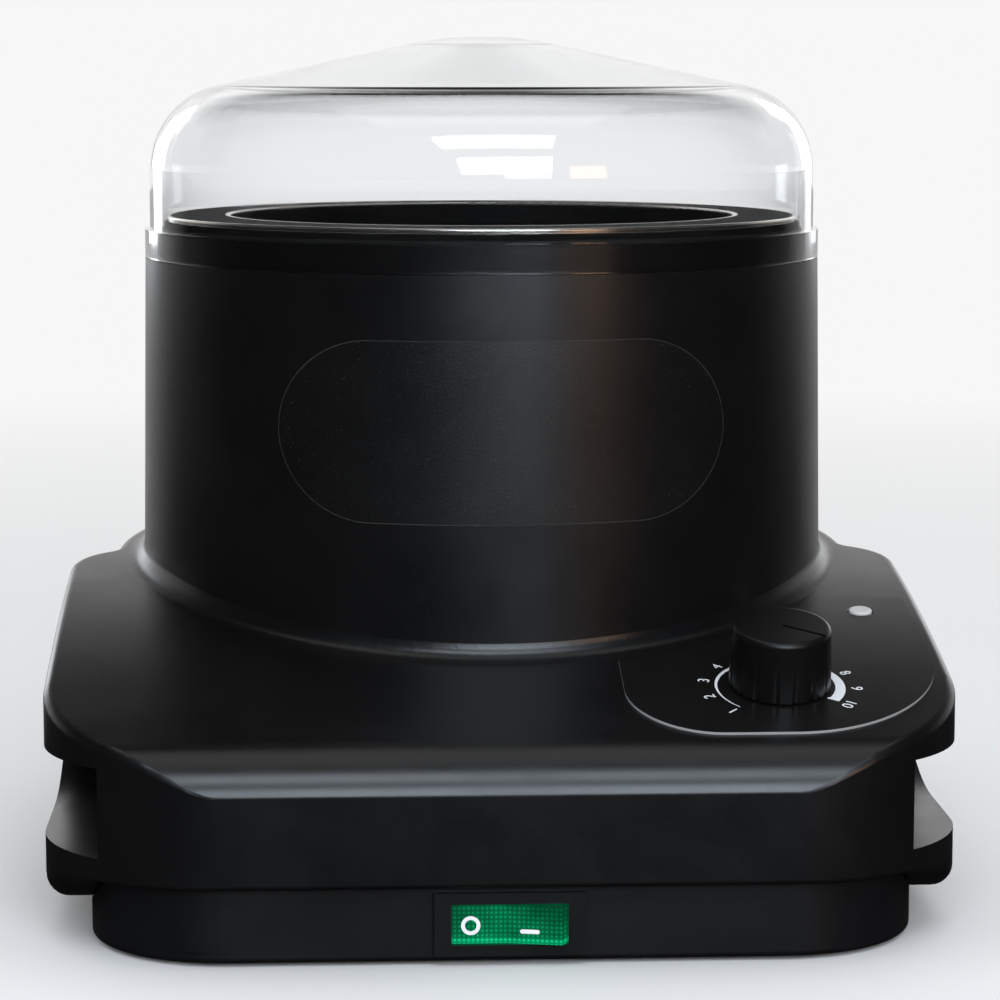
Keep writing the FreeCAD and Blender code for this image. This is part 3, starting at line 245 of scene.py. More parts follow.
def makeTurnedRings():
    tree, source, sink = newGroup("turnedRings", {"Rings": None}, ("Height", "Tone", "Radius"))
    axes = splitAxes(tree, source.outputs["Vector"])
    across = addMath(tree, "MULTIPLY", axes["X"], axes["X"])
    along = addMath(tree, "MULTIPLY", axes["Y"], axes["Y"])
    radius = addMath(tree, "SQRT", addMath(tree, "ADD", across, along))
    climb = addMath(tree, "ADD", radius, axes["Z"])
    wave = addMath(tree, "SINE", addMath(tree, "MULTIPLY", climb, source.outputs["Rings"]))
    drift = addNode(tree, "ShaderNodeTexNoise", noise_dimensions="1D", **ringLook["drift"])
    tree.links.new(climb, drift.inputs["W"])
    height = addMath(tree, "ADD", addMath(tree, "MULTIPLY", wave, ringLook["waveShare"]),
                     drift.outputs["Fac"])
    tree.links.new(height, sink.inputs["Height"])
    tree.links.new(drift.outputs["Fac"], sink.inputs["Tone"])
    tree.links.new(radius, sink.inputs["Radius"])
    return tree


# soft smears and specks of dust where fingers and cloths have been
handlingLook = {"smear": dict(detail=5.0, roughness=0.65, distortion=1.2), "smearScale": 28.0,
                "smearSpan": (0.42, 0.68), "dustScale": 900.0, "dustSpan": (0.12, 0.02)}


def makeHandling():
    tree, source, sink = newGroup(
        "handling", {"Smear": handlingLook["smearScale"], "Dust": handlingLook["dustScale"]},
        ("Smear", "Dust"))
    smear = addNoise(tree, source.outputs["Vector"], **handlingLook["smear"])
    tree.links.new(source.outputs["Smear"], smear.inputs["Scale"])
    dust = addNode(tree, "ShaderNodeTexVoronoi", feature="F1")
    tree.links.new(source.outputs["Vector"], dust.inputs["Vector"])
    tree.links.new(source.outputs["Dust"], dust.inputs["Scale"])
    tree.links.new(addRange(tree, smear.outputs["Fac"], *handlingLook["smearSpan"], 0, 1),
                   sink.inputs["Smear"])
    tree.links.new(addRange(tree, dust.outputs["Distance"], *handlingLook["dustSpan"], 0, 1),
                   sink.inputs["Dust"])
    return tree


mouldGrain = makeMouldGrain()
turnedRings = makeTurnedRings()
handling = makeHandling()


# material helpers
def newMaterial(name, **constants):
    material = bpy.data.materials.new(name)
    material.use_nodes = True
    tree = material.node_tree
    shader = tree.nodes["Principled BSDF"]
    for label, item in constants.items():
        shader.inputs[label.replace("_", " ")].default_value = item
    return material, tree, shader


def objectPlace(tree, centre=None):
    place = addNode(tree, "ShaderNodeTexCoord")
    if centre is None:
        return place.outputs["Object"]
    mapping = addNode(tree, "ShaderNodeMapping", vector_type="TEXTURE")
    mapping.inputs["Location"].default_value = centre
    tree.links.new(place.outputs["Object"], mapping.inputs["Vector"])
    return mapping.outputs["Vector"]


def useGroup(tree, group, vector, **values):
    node = tree.nodes.new("ShaderNodeGroup")
    node.node_tree = group
    tree.links.new(vector, node.inputs["Vector"])
    for label, item in values.items():
        node.inputs[label].default_value = item
    return node


def addBump(tree, shader, height, look):
    node = addNode(tree, "ShaderNodeBump", strength=look["bump"], distance=look["depth"])
    tree.links.new(height, node.inputs["Height"])
    tree.links.new(node.outputs["Normal"], shader.inputs["Normal"])


def addShine(tree, shader, mask, look):
    tree.links.new(addRange(tree, mask, *noiseSpan, look["smooth"], look["rough"]),
                   shader.inputs["Roughness"])


def addTone(tree, shader, mask, look):
    tree.links.new(mixColour(tree, mask, look["low"], look["high"]), shader.inputs["Base Color"])


# moulded finishes; those that leave out a value take the usual one
usualPlastic = {"level": 0.35, "grain": 1400.0, "bump": 0.12, "depth": 0.00004, "dust": 0.02,
                "dustTone": (0.42, 0.42, 0.42), "smear": 0.04}
plastics = {
    "casingBlack": dict(low=(0.0022, 0.0022, 0.0025), high=(0.0036, 0.0035, 0.0037),
                        smooth=0.26, rough=0.32, level=0.7),
    "panBlack": dict(low=(0.0036, 0.0037, 0.0046), high=(0.0052, 0.0054, 0.0064),
                     smooth=0.38, rough=0.46, level=0.4),
    "knobBlack": dict(low=(0.0022, 0.0021, 0.0021), high=(0.0036, 0.0034, 0.0034),
                      smooth=0.28, rough=0.36, level=0.5),
    "switchBlack": dict(low=(0.0034, 0.0034, 0.0037), high=(0.0048, 0.0048, 0.0051),
                        smooth=0.36, rough=0.45, level=0.4),
    "glandBlack": dict(low=(0.012, 0.012, 0.012), high=(0.018, 0.018, 0.018), smooth=0.42, rough=0.52),
    "wellCoat": dict(low=(0.005, 0.005, 0.0052), high=(0.009, 0.0088, 0.0086),
                     smooth=0.6, rough=0.7, level=0.08, grain=2200.0, dust=0.0),
    "footRubber": dict(low=(0.016, 0.016, 0.016), high=(0.028, 0.027, 0.026),
                       smooth=0.7, rough=0.85, level=0.2, grain=900.0, bump=0.3, dust=0.2),
    "statResin": dict(low=(0.6, 0.57, 0.49), high=(0.68, 0.65, 0.57), smooth=0.45, rough=0.55),
    "gasketSilicone": dict(low=(0.012, 0.012, 0.012), high=(0.02, 0.019, 0.018), smooth=0.5, rough=0.6),
    "badgeBlack": dict(low=(0.0024, 0.0024, 0.0026), high=(0.0042, 0.004, 0.004),
                       smooth=0.27, rough=0.33, level=0.7, grain=3000.0, bump=0.9, dust=0.12),
    # painted highlight: the lighter finish on the badge plate's border and sides
    "badgePaintedEdgeHighlight": dict(low=(0.012, 0.012, 0.0125), high=(0.034, 0.033, 0.032), smooth=0.25, rough=0.35),
}


def mouldedPlastic(name, look):
    material, tree, shader = newMaterial(name, Specular_IOR_Level=look["level"])
    place = objectPlace(tree)
    skin = useGroup(tree, mouldGrain, place, Grain=look["grain"])
    touch = useGroup(tree, handling, place)
    mottle = skin.outputs["Mottle"]
    tone = mixColour(tree, addRange(tree, mottle, *mottleSpan, 0, 1), look["low"], look["high"])
    speck = addMath(tree, "MULTIPLY", touch.outputs["Dust"], look["dust"])
    tree.links.new(mixColour(tree, speck, tone, look["dustTone"]), shader.inputs["Base Color"])
    shine = addMath(tree, "ADD", addRange(tree, mottle, *noiseSpan, look["smooth"], look["rough"]),
                    addMath(tree, "MULTIPLY", touch.outputs["Smear"], look["smear"]))
    tree.links.new(shine, shader.inputs["Roughness"])
    addBump(tree, shader, skin.outputs["Height"], look)
    return material


finishes = {name: mouldedPlastic(name, {**usualPlastic, **look}) for name, look in plastics.items()}

# metals
usualMetal = {"bump": 0.15, "depth": 0.00003}
metals = {
    "platedSteel": dict(low=(0.5, 0.5, 0.5), high=(0.64, 0.64, 0.63),
                        smooth=0.25, rough=0.38, rings=5000.0),
    "copperTube": dict(low=(0.62, 0.31, 0.18), high=(0.76, 0.42, 0.27),
                       smooth=0.22, rough=0.34, rings=3000.0),
    "terminalBrass": dict(low=(0.6, 0.45, 0.2), high=(0.74, 0.58, 0.3),
                          smooth=0.25, rough=0.36, rings=4000.0),
}


def spunMetal(name, look):
    material, tree, shader = newMaterial(name, Metallic=1.0)
    turned = useGroup(tree, turnedRings, objectPlace(tree), Rings=look["rings"])
    addTone(tree, shader, turned.outputs["Tone"], look)
    addShine(tree, shader, turned.outputs["Tone"], look)
    addBump(tree, shader, turned.outputs["Height"], look)
    return material


finishes.update({name: spunMetal(name, {**usualMetal, **look}) for name, look in metals.items()})
print("plastics and metals ready:", len(finishes))

# pot: dark release coat, with bare metal on the turned edges of its rim
potCoat = {"outer": 0.0739, "outerFade": 0.0001, "inner": 0.0604, "lip": 0.0007, "rimLow": 0.1483,
           "fade": 0.0002, "level": 0.1, "rings": 7000.0, "grain": 2200.0,
           "coatLow": (0.005, 0.005, 0.0055), "coatHigh": (0.009, 0.009, 0.0095), "coatRough": 0.6,
           "bareLow": (0.7, 0.66, 0.6), "bareHigh": (0.85, 0.8, 0.74), "bareRough": 0.2,
           "bump": 0.08, "depth": 0.00003}


def makePotCoat():
    material, tree, shader = newMaterial("potCoat", Specular_IOR_Level=potCoat["level"])
    place = objectPlace(tree, tuple(barrelAxis))
    turned = useGroup(tree, turnedRings, place, Rings=potCoat["rings"])
    skin = useGroup(tree, mouldGrain, place, Grain=potCoat["grain"])
    radius = turned.outputs["Radius"]
    outside = addRange(tree, radius, potCoat["outer"], potCoat["outer"] + potCoat["outerFade"], 0, 1)
    nearLip = addMath(tree, "ABSOLUTE", addMath(tree, "SUBTRACT", radius, potCoat["inner"]))
    inside = addRange(tree, nearLip, potCoat["lip"], potCoat["lip"] - potCoat["fade"], 0, 1)
    high = addRange(tree, splitAxes(tree, place)["Z"],
                    potCoat["rimLow"], potCoat["rimLow"] + potCoat["fade"], 0, 1)
    bare = addMath(tree, "MULTIPLY", addMath(tree, "MAXIMUM", outside, inside), high)
    coat = mixColour(tree, skin.outputs["Mottle"], potCoat["coatLow"], potCoat["coatHigh"])
    metal = mixColour(tree, turned.outputs["Tone"], potCoat["bareLow"], potCoat["bareHigh"])
    tree.links.new(mixColour(tree, bare, coat, metal), shader.inputs["Base Color"])
    tree.links.new(bare, shader.inputs["Metallic"])
    tree.links.new(addRange(tree, bare, 0, 1, potCoat["coatRough"], potCoat["bareRough"]),
                   shader.inputs["Roughness"])
    addBump(tree, shader, turned.outputs["Height"], potCoat)
    return material


# lid: clear moulding with faint smears and a slight waviness
lidLook = {"tint": (0.984, 0.992, 1, 1), "bend": 1.49, "smear": 18.0, "grain": 60.0,
           "smooth": 0.015, "rough": 0.05, "bump": 0.01, "depth": 0.00005}


def makeLidClear():
    material, tree, shader = newMaterial("lidClear", Base_Color=lidLook["tint"], IOR=lidLook["bend"],
                                         Transmission_Weight=1.0)
    place = objectPlace(tree)
    touch = useGroup(tree, handling, place, Smear=lidLook["smear"])
    skin = useGroup(tree, mouldGrain, place, Grain=lidLook["grain"])
    tree.links.new(addRange(tree, touch.outputs["Smear"], 0, 1, lidLook["smooth"], lidLook["rough"]),
                   shader.inputs["Roughness"])
    addBump(tree, shader, skin.outputs["Height"], lidLook)
    return material


# printed panel film: dark ink with painted sparkle (pale specks standing in for glints) and a painted
# highlight on its edges
panelFilm = {"low": (0.004, 0.0039, 0.0041), "high": (0.0072, 0.0068, 0.0068), "level": 0.5,
             "edge": (0.3, 0.3, 0.3), "edgeSpan": (0.8, 0.5), "grain": 3000.0, "patch": 60.0,
             "dust": 1500.0, "paintedSparkle": 0.18, "spark": (0.4, 0.38, 0.38),
             "smooth": 0.26, "rough": 0.34, "bump": 0.08, "depth": 0.00003}


def makePanelFilm():
    material, tree, shader = newMaterial("panelFilm", Specular_IOR_Level=panelFilm["level"])
    place = objectPlace(tree)
    skin = useGroup(tree, mouldGrain, place, Grain=panelFilm["grain"], Patch=panelFilm["patch"])
    touch = useGroup(tree, handling, place, Dust=panelFilm["dust"])
    # painted highlight: faces turned well away from the knob's axis, the film's edges, are painted pale
    facing = addNode(tree, "ShaderNodeVectorMath", operation="DOT_PRODUCT")
    tree.links.new(tree.nodes["Texture Coordinate"].outputs["Normal"], facing.inputs[0])
    facing.inputs[1].default_value = joints["knob_turn"]["axis"]
    edge = addRange(tree, facing.outputs["Value"], *panelFilm["edgeSpan"], 0, 1)
    ink = mixColour(tree, skin.outputs["Mottle"], panelFilm["low"], panelFilm["high"])
    # painted sparkle: pale specks in the base colour stand in for glints in the ink
    spark = addMath(tree, "MULTIPLY", touch.outputs["Dust"], panelFilm["paintedSparkle"])
    inkWithPaintedSparkle = mixColour(tree, spark, ink, panelFilm["spark"])
    tree.links.new(mixColour(tree, edge, inkWithPaintedSparkle, panelFilm["edge"]), shader.inputs["Base Color"])
    addShine(tree, shader, skin.outputs["Mottle"], panelFilm)
    addBump(tree, shader, skin.outputs["Height"], panelFilm)
    return material


# frosted indicator lens, rings moulded in its face
lensLook = {"cloudy": 0.2, "scatter": 0.001, "rings": 12000.0, "low": (0.5, 0.5, 0.5),
            "high": (0.62, 0.62, 0.62), "smooth": 0.3, "rough": 0.45, "bump": 0.2, "depth": 0.00004}


def makeLensPale():
    material, tree, shader = newMaterial("lensPale", Subsurface_Weight=lensLook["cloudy"],
                                         Subsurface_Scale=lensLook["scatter"])
    low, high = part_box("indicator_lens")
    middle = (low + high) / 2
    turned = useGroup(tree, turnedRings, objectPlace(tree, tuple(middle)), Rings=lensLook["rings"])
    addTone(tree, shader, turned.outputs["Tone"], lensLook)
    addShine(tree, shader, turned.outputs["Tone"], lensLook)
    addBump(tree, shader, turned.outputs["Height"], lensLook)
    return material


# green rocker with a painted glow (emission standing in for the lamp behind it) over a waffle of small
# lenses moulded in its face; the painted glow is brightest near the lamp and on the lowest row, dimmer
# towards the top and in the grooves
rockerLook = {"pitch": 0.00095, "body": (0.0, 0.012, 0.005), "dim": (0.0, 0.012, 0.004),
              "lit": (0.004, 0.62, 0.24), "glow": 1.0, "level": 0.2, "lampAt": -0.003, "spread": 0.011,
              "farGlow": 0.55, "rowFade": (3, 2), "rowGlow": 0.8, "shade": (0.9, 0.5),
              "cloud": dict(scale=170.0, detail=1.0), "cloudGlow": 0.5, "grooveGlow": 0.3,
              "smooth": 0.16, "rough": 0.26, "bump": 0.35, "depth": 0.0001}


def makeRockerGreen():
    # the rocker's emission is a painted glow: no lamp in the scene shines through it
    material, tree, shader = newMaterial("rockerGreenPaintedGlow", Emission_Strength=rockerLook["glow"],
                                         Specular_IOR_Level=rockerLook["level"])
    place = objectPlace(tree)
    axes = splitAxes(tree, place)
    waves = []
    for label in ("X", "Z"):
        turns = addMath(tree, "MULTIPLY", axes[label], 2 * math.pi / rockerLook["pitch"])
        waves.append(addRange(tree, addMath(tree, "COSINE", turns), -1, 1, 0, 1))
    cell = addMath(tree, "MULTIPLY", waves[0], waves[1])
    cloud = addNoise(tree, place, **rockerLook["cloud"]).outputs["Fac"]
    # painted hot spot: the glow is brightest over the lamp and fades sideways from it
    away = addMath(tree, "ABSOLUTE", addMath(tree, "SUBTRACT", axes["X"], rockerLook["lampAt"]))
    paintedHotSpot = addRange(tree, away, 0, rockerLook["spread"], 1, rockerLook["farGlow"])
    low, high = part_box("rocker")
    rows = [low.z + row * rockerLook["pitch"] for row in rockerLook["rowFade"]]
    # painted glow on the lowest rows, and painted shade that dims the glow towards the top
    paintedRowGlow = addRange(tree, axes["Z"], *rows, 0, rockerLook["rowGlow"])
    shade = addRange(tree, axes["Z"], low.z, high.z, *rockerLook["shade"])
    patch = addMath(tree, "MULTIPLY", addRange(tree, cloud, *mottleSpan, rockerLook["cloudGlow"], 1), shade)
    lit = addMath(tree, "ADD", addMath(tree, "MULTIPLY", paintedHotSpot, patch), paintedRowGlow)
    # the grooves between the lenses get less of the painted glow
    share = addMath(tree, "MULTIPLY", addRange(tree, cell, 0, 1, rockerLook["grooveGlow"], 1), lit)
    tree.links.new(mixColour(tree, share, rockerLook["dim"], rockerLook["lit"]),
                   shader.inputs["Emission Color"])
    # the painted glow share also shifts the base colour slightly
    tree.links.new(mixColour(tree, share, rockerLook["body"], rockerLook["dim"]),
                   shader.inputs["Base Color"])
    addShine(tree, shader, cloud, rockerLook)
    addBump(tree, shader, cell, rockerLook)
    return material


# needled felt round the well
feltLook = {"fibre": dict(scale=700.0, detail=6.0, distortion=2.5), "level": 0.2, "sheen": 0.3,
            "low": (0.55, 0.53, 0.47), "high": (0.76, 0.74, 0.68), "smooth": 0.8, "rough": 0.95,
            "bump": 0.6, "depth": 0.0004}


def makeSleeveFelt():
    material, tree, shader = newMaterial("sleeveFelt", Specular_IOR_Level=feltLook["level"],
                                         Sheen_Weight=feltLook["sheen"])
    fibre = addNoise(tree, objectPlace(tree), **feltLook["fibre"]).outputs["Fac"]
    addTone(tree, shader, fibre, feltLook)
    addShine(tree, shader, fibre, feltLook)
    addBump(tree, shader, fibre, feltLook)
    return material


# tinted lamp body
lampLook = {"clear": 0.6, "bend": 1.5, "grain": 800.0, "low": (0.75, 0.42, 0.24),
            "high": (0.85, 0.52, 0.32), "smooth": 0.08, "rough": 0.18, "bump": 0.05, "depth": 0.00003}


def makeLampClear():
    material, tree, shader = newMaterial("lampClear", Transmission_Weight=lampLook["clear"],
                                         IOR=lampLook["bend"])
    skin = useGroup(tree, mouldGrain, objectPlace(tree), Grain=lampLook["grain"])
    addTone(tree, shader, skin.outputs["Mottle"], lampLook)
    addShine(tree, shader, skin.outputs["Mottle"], lampLook)
    addBump(tree, shader, skin.outputs["Height"], lampLook)
    return material


# printed marks
markLook = {"level": 0.4, "grain": 6000.0, "patch": 300.0, "low": (0.7, 0.72, 0.75),
            "high": (0.84, 0.86, 0.9), "smooth": 0.4, "rough": 0.55, "bump": 0.05, "depth": 0.00002}


def makeMarkWhite():
    material, tree, shader = newMaterial("markWhite", Specular_IOR_Level=markLook["level"])
    skin = useGroup(tree, mouldGrain, objectPlace(tree), Grain=markLook["grain"],
                    Patch=markLook["patch"])
    addTone(tree, shader, skin.outputs["Mottle"], markLook)
    addShine(tree, shader, skin.outputs["Mottle"], markLook)
    addBump(tree, shader, skin.outputs["Height"], markLook)
    return material


finishes.update({
    "potCoat": makePotCoat(), "lidClear": makeLidClear(), "panelFilm": makePanelFilm(),
    "lensPale": makeLensPale(), "rockerGreenPaintedGlow": makeRockerGreen(), "sleeveFelt": makeSleeveFelt(),
    "lampClear": makeLampClear(), "markWhite": makeMarkWhite(),
})
nodeFinish = {
    "top_casing": "casingBlack", "base_pan": "panBlack", "lid": "lidClear", "control_knob": "knobBlack",
    "control_overlay": "panelFilm", "indicator_lens": "lensPale", "switch_frame": "switchBlack",
    "rocker": "rockerGreenPaintedGlow", "wax_pot": "potCoat", "heating_well": "wellCoat",
    "heater_band": "platedSteel", "thermostat_shaft": "platedSteel", "thermostat_nut": "platedSteel",
    "thermal_cutout": "platedSteel", "casing_screws": "platedSteel", "well_screws": "platedSteel",
    "sensor_bulb": "copperTube", "capillary_tube": "copperTube", "switch_terminals": "terminalBrass",
    "insulation_sleeve": "sleeveFelt", "rim_gasket": "gasketSilicone", "thermostat_body": "statResin",
    "terminal_block": "statResin", "indicator_lamp": "lampClear", "cable_gland": "glandBlack",
    "gland_nut": "glandBlack", "feet": "footRubber",
}


def setFinish(piece, *names):
    piece.data.materials.clear()
    for name in names:
        piece.data.materials.append(finishes[name])


for node, finish in nodeFinish.items():
    setFinish(nodes[node], finish)
print("finishes set on", len(nodeFinish), "nodes")

# bare badge plate on the front of the barrel, a slice of a cone trimmed by a stadium-shaped cutter; a
# lighter finish on its border and sides is a painted edge highlight
badge = {"length": 0.099, "height": 0.0402, "across": 0.0016, "centre": 0.1055, "proud": 0.00015,
         "thick": 0.0004, "spare": 0.004, "lowRadius": 0.08081, "highRadius": 0.08013, "border": 0.00022,
         "sides": 256, "frontFrom": 0.03, "corners": 96, "cutDepth": 0.06, "cutFrom": -0.02, "crease": 35}


def makeBadge():
    pickNone()
    bpy.ops.mesh.primitive_cone_add(
        vertices=badge["sides"], radius1=badge["lowRadius"] + badge["proud"],
        radius2=badge["highRadius"] + badge["proud"], depth=badge["height"] + badge["spare"],
        end_fill_type="NOTHING", location=(barrelAxis.x, barrelAxis.y, badge["centre"]))
    plate = nameNew("badgePlate")
    bpy.ops.object.transform_apply(location=True, rotation=True, scale=True)
    editVerts(plate, lambda co: co.y > barrelAxis.y - badge["frontFrom"])
    bpy.ops.mesh.delete(type="VERT")
    leaveEdit()
    addModifier(plate, "SOLIDIFY", thickness=badge["thick"], offset=-1)
    cutter = addStadium("badgeCutter", badge["length"], badge["height"], badge["corners"])
    bpy.ops.object.mode_set(mode="EDIT")
    bpy.ops.mesh.select_all(action="SELECT")
    bpy.ops.mesh.extrude_region_move(TRANSFORM_OT_translate={"value": (0, 0, badge["cutDepth"])})
    bpy.ops.mesh.select_all(action="SELECT")
    bpy.ops.mesh.normals_make_consistent(inside=False)
    leaveEdit()
    setPlace(cutter, Matrix.Translation((badge["across"], badge["cutFrom"], badge["centre"]))
             @ Matrix.Rotation(math.pi / 2, 4, "X"))
    pickOnly(plate)
    addModifier(plate, "BOOLEAN", object=cutter, operation="INTERSECT", solver="EXACT")
    bpy.data.objects.remove(cutter)
    setFinish(plate, "badgeBlack", "badgePaintedEdgeHighlight")
    taper = (badge["lowRadius"] - badge["highRadius"]) / (badge["height"] + badge["spare"])
    middle = (badge["lowRadius"] + badge["highRadius"] - badge["thick"]) / 2 + badge["proud"]
    # the front face keeps the dark finish; its thin inset border, the sides and the back take the lighter
    # finish of the painted edge highlight
    editVerts(plate, lambda co: math.hypot(co.x, co.y - barrelAxis.y)
              > middle - taper * (co.z - badge["centre"]))
    bpy.ops.mesh.select_mode(type="FACE")
    bpy.ops.mesh.inset(thickness=badge["border"])
    bpy.ops.mesh.select_all(action="INVERT")
    plate.active_material_index = 1
    bpy.ops.object.material_slot_assign()
    leaveEdit()
    smoothPiece(plate, badge["crease"])
    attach(plate, "housing")


makeBadge()
print("badge plate on the barrel")

# printed dial round the knob: a wedge that widens from setting 1 to 10, and its numbers; angles in degrees
dial = {"radius": 0.0140, "first": 226.0, "sweep": 260.0, "settings": 10, "thin": 0.0001, "wide": 0.0024,
        "flare": 0.0004, "flareFrom": 0.985, "numbers": 0.0163, "textSize": 0.0036, "lift": 0.004,
        "ink": 0.00004, "sides": 180, "spare": 0.5, "startScale": 0.9, "innerShare": 0.95}


def dialPlace():
    hinge = joints["knob_turn"]
    axis = Vector(hinge["axis"]).normalized()
    right = Vector((1, 0, 0))
    turn = Matrix((right, axis.cross(right), axis)).transposed().to_4x4()
    return Matrix.Translation(Vector(hinge["pos_m"])) @ turn @ Matrix.Translation((0, 0, dial["lift"]))


def makeWedge():
    pickNone()
    bpy.ops.mesh.primitive_circle_add(vertices=dial["sides"], radius=dial["radius"], fill_type="NOTHING")
    wedge = nameNew("dialWedge")

    def turned(co):
        return (dial["first"] - math.degrees(math.atan2(co.y, co.x))) % 360

    editVerts(wedge, lambda co: turned(co) > dial["sweep"] + dial["spare"])
    bpy.ops.mesh.delete(type="VERT")
    bpy.ops.mesh.select_all(action="SELECT")
    bpy.ops.mesh.extrude_region_move(TRANSFORM_OT_translate={"value": (0, 0, 0)})
    bpy.ops.transform.resize(value=(dial["startScale"], dial["startScale"], 1), center_override=(0, 0, 0))
    leaveEdit()
    innerLimit = dial["radius"] * dial["innerShare"]
    inner = [vert.index for vert in wedge.data.vertices if vert.co.length < innerLimit]
    for index in inner:
        co = wedge.data.vertices[index].co
        share = turned(co) / dial["sweep"]
        width = dial["thin"] + (dial["wide"] - dial["thin"]) * share
        if share > dial["flareFrom"]:
            width += dial["flare"]
        scale = (dial["radius"] - width) / co.length
        editVerts(wedge, lambda place, target=co.copy(): (place - target).length < samePlace)
        bpy.ops.transform.resize(value=(scale, scale, 1), center_override=(0, 0, 0))
        leaveEdit()
    faceUp(wedge, (0, 0, 1))
    setPlace(wedge, dialPlace())
    layOnto(wedge, "control_overlay", "z", False, dial["ink"])
    return wedge


def makeNumber(number):
    pickNone()
    bpy.ops.object.text_add()
    mark = nameNew(f"dialNumber{number + 1}")
    mark.data.body = str(number + 1)
    mark.data.size = dial["textSize"]
    mark.data.align_x = "CENTER"
    mark.data.align_y = "CENTER"
    bpy.ops.object.convert(target="MESH")
    angle = math.radians(dial["first"] - dial["sweep"] / (dial["settings"] - 1) * number)
    place = Matrix.Rotation(angle, 4, "Z") @ Matrix.Translation((dial["numbers"], 0, 0))
    setPlace(mark, dialPlace() @ place @ Matrix.Rotation(-math.pi / 2, 4, "Z"))
    faceUp(mark, (0, 0, 1))
    layOnto(mark, "control_overlay", "z", False, dial["ink"])
    return mark


def makeDial():
    marks = [makeWedge()]
    for number in range(dial["settings"]):
        marks.append(makeNumber(number))
    scale = joinPieces(marks, "dialScale")
    setFinish(scale, "markWhite")
    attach(scale, "housing")


makeDial()
print("dial printed round the knob")

# O and dash printed on the rocker
rockerMarks = {"ring": 0.0040, "stroke": 0.0008, "ringAt": (-0.0081, 0.0087), "sides": 64,
               "dash": (0.0040, 0.0009), "dashAt": (0.0041, 0.0075), "corners": 32,
               "front": -0.112, "ink": 0.00005}


def makeRockerMarks():
    pickNone()
    bpy.ops.mesh.primitive_circle_add(vertices=rockerMarks["sides"], radius=rockerMarks["ring"] / 2,
                                      fill_type="NGON")
    ring = nameNew("rockerRing")
    bpy.ops.object.mode_set(mode="EDIT")
    bpy.ops.mesh.select_mode(type="FACE")
    bpy.ops.mesh.select_all(action="SELECT")
    bpy.ops.mesh.inset(thickness=rockerMarks["stroke"])
    bpy.ops.mesh.delete(type="FACE")
    leaveEdit()
    dash = addStadium("rockerDash", *rockerMarks["dash"], rockerMarks["corners"])
    for mark, (across, height) in ((ring, rockerMarks["ringAt"]), (dash, rockerMarks["dashAt"])):
        setPlace(mark, Matrix.Translation((across, rockerMarks["front"], height))
                 @ Matrix.Rotation(math.pi / 2, 4, "X"))
        faceUp(mark, (0, -1, 0))
        layOnto(mark, "rocker", "y", True, rockerMarks["ink"])
    marks = joinPieces([ring, dash], "rockerMarks")
    setFinish(marks, "markWhite")
    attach(marks, "switch")


makeRockerMarks()
print("marks on the rocker")


# how a ray came to the floor or the world: seen straight, seen through glass, or mirrored
def rayShares(tree):
    rays = addNode(tree, "ShaderNodeLightPath")
    bounced = addMath(tree, "MINIMUM", rays.outputs["Glossy Depth"], 1)
    notDiffuse = addMath(tree, "SUBTRACT", 1, rays.outputs["Is Diffuse Ray"])
    mirrored = addMath(tree, "MULTIPLY", bounced, notDiffuse)
    notBounced = addMath(tree, "SUBTRACT", 1, bounced)
    through = addMath(tree, "MULTIPLY", rays.outputs["Is Transmission Ray"], notBounced)
    return rays.outputs["Is Camera Ray"], through, mirrored


# floor: pale and fading into the backdrop where it is seen, dim towards the front where it is mirrored
stageLook = {"size": 8.0, "low": (0.84, 0.84, 0.84), "high": (0.88, 0.88, 0.88), "level": 0.2, "rough": 0.7,
             "cloud": dict(scale=3.0, detail=3.0), "pale": 0.93, "near": 0.35, "far": 1.1,
             "side": 0.55, "behind": 0.97, "dim": 0.01, "glint": 0.5}


def makeFloor():
    pickNone()
    bpy.ops.mesh.primitive_plane_add(size=stageLook["size"], location=(0, 0, 0))
    floor = nameNew("floor")
    material, tree, shader = newMaterial("floorPale", Specular_IOR_Level=stageLook["level"],
                                         Roughness=stageLook["rough"])
    place = objectPlace(tree)
    addTone(tree, shader, addNoise(tree, place, **stageLook["cloud"]).outputs["Fac"], stageLook)
    reach = addNode(tree, "ShaderNodeVectorMath", operation="LENGTH")
    tree.links.new(place, reach.inputs[0])
    far = addRange(tree, reach.outputs["Value"], stageLook["near"], stageLook["far"], 0, 1)
    bearing = addMath(tree, "DIVIDE", splitAxes(tree, place)["Y"], reach.outputs["Value"])
    glint = addRange(tree, bearing, stageLook["side"], stageLook["behind"],
                     stageLook["dim"], stageLook["glint"])
    camera, through, mirrored = rayShares(tree)
    seen = addMath(tree, "MAXIMUM", camera, through)
    surface = shader.outputs[0]
    for share, level in ((addMath(tree, "MULTIPLY", far, seen), stageLook["pale"]), (mirrored, glint)):
        glow = addNode(tree, "ShaderNodeEmission")
        feed(tree, glow.inputs["Strength"], level)
        blend = addNode(tree, "ShaderNodeMixShader")
        for socket, item in zip(blend.inputs, (share, surface, glow.outputs[0])):
            tree.links.new(item, socket)
        surface = blend.outputs[0]
    tree.links.new(surface, tree.nodes["Material Output"].inputs["Surface"])
    floor.data.materials.append(material)


makeFloor()

# world: pale where it is seen, straight or through glass; where it is mirrored, dim in front and overhead
worldLook = {"pale": 0.93, "front": 0.015, "above": 0.03, "diffuse": 0.7, "glass": 1.0,
             "behindSpan": (0.3, 0.85), "aboveSpan": (0.38, 0.55)}


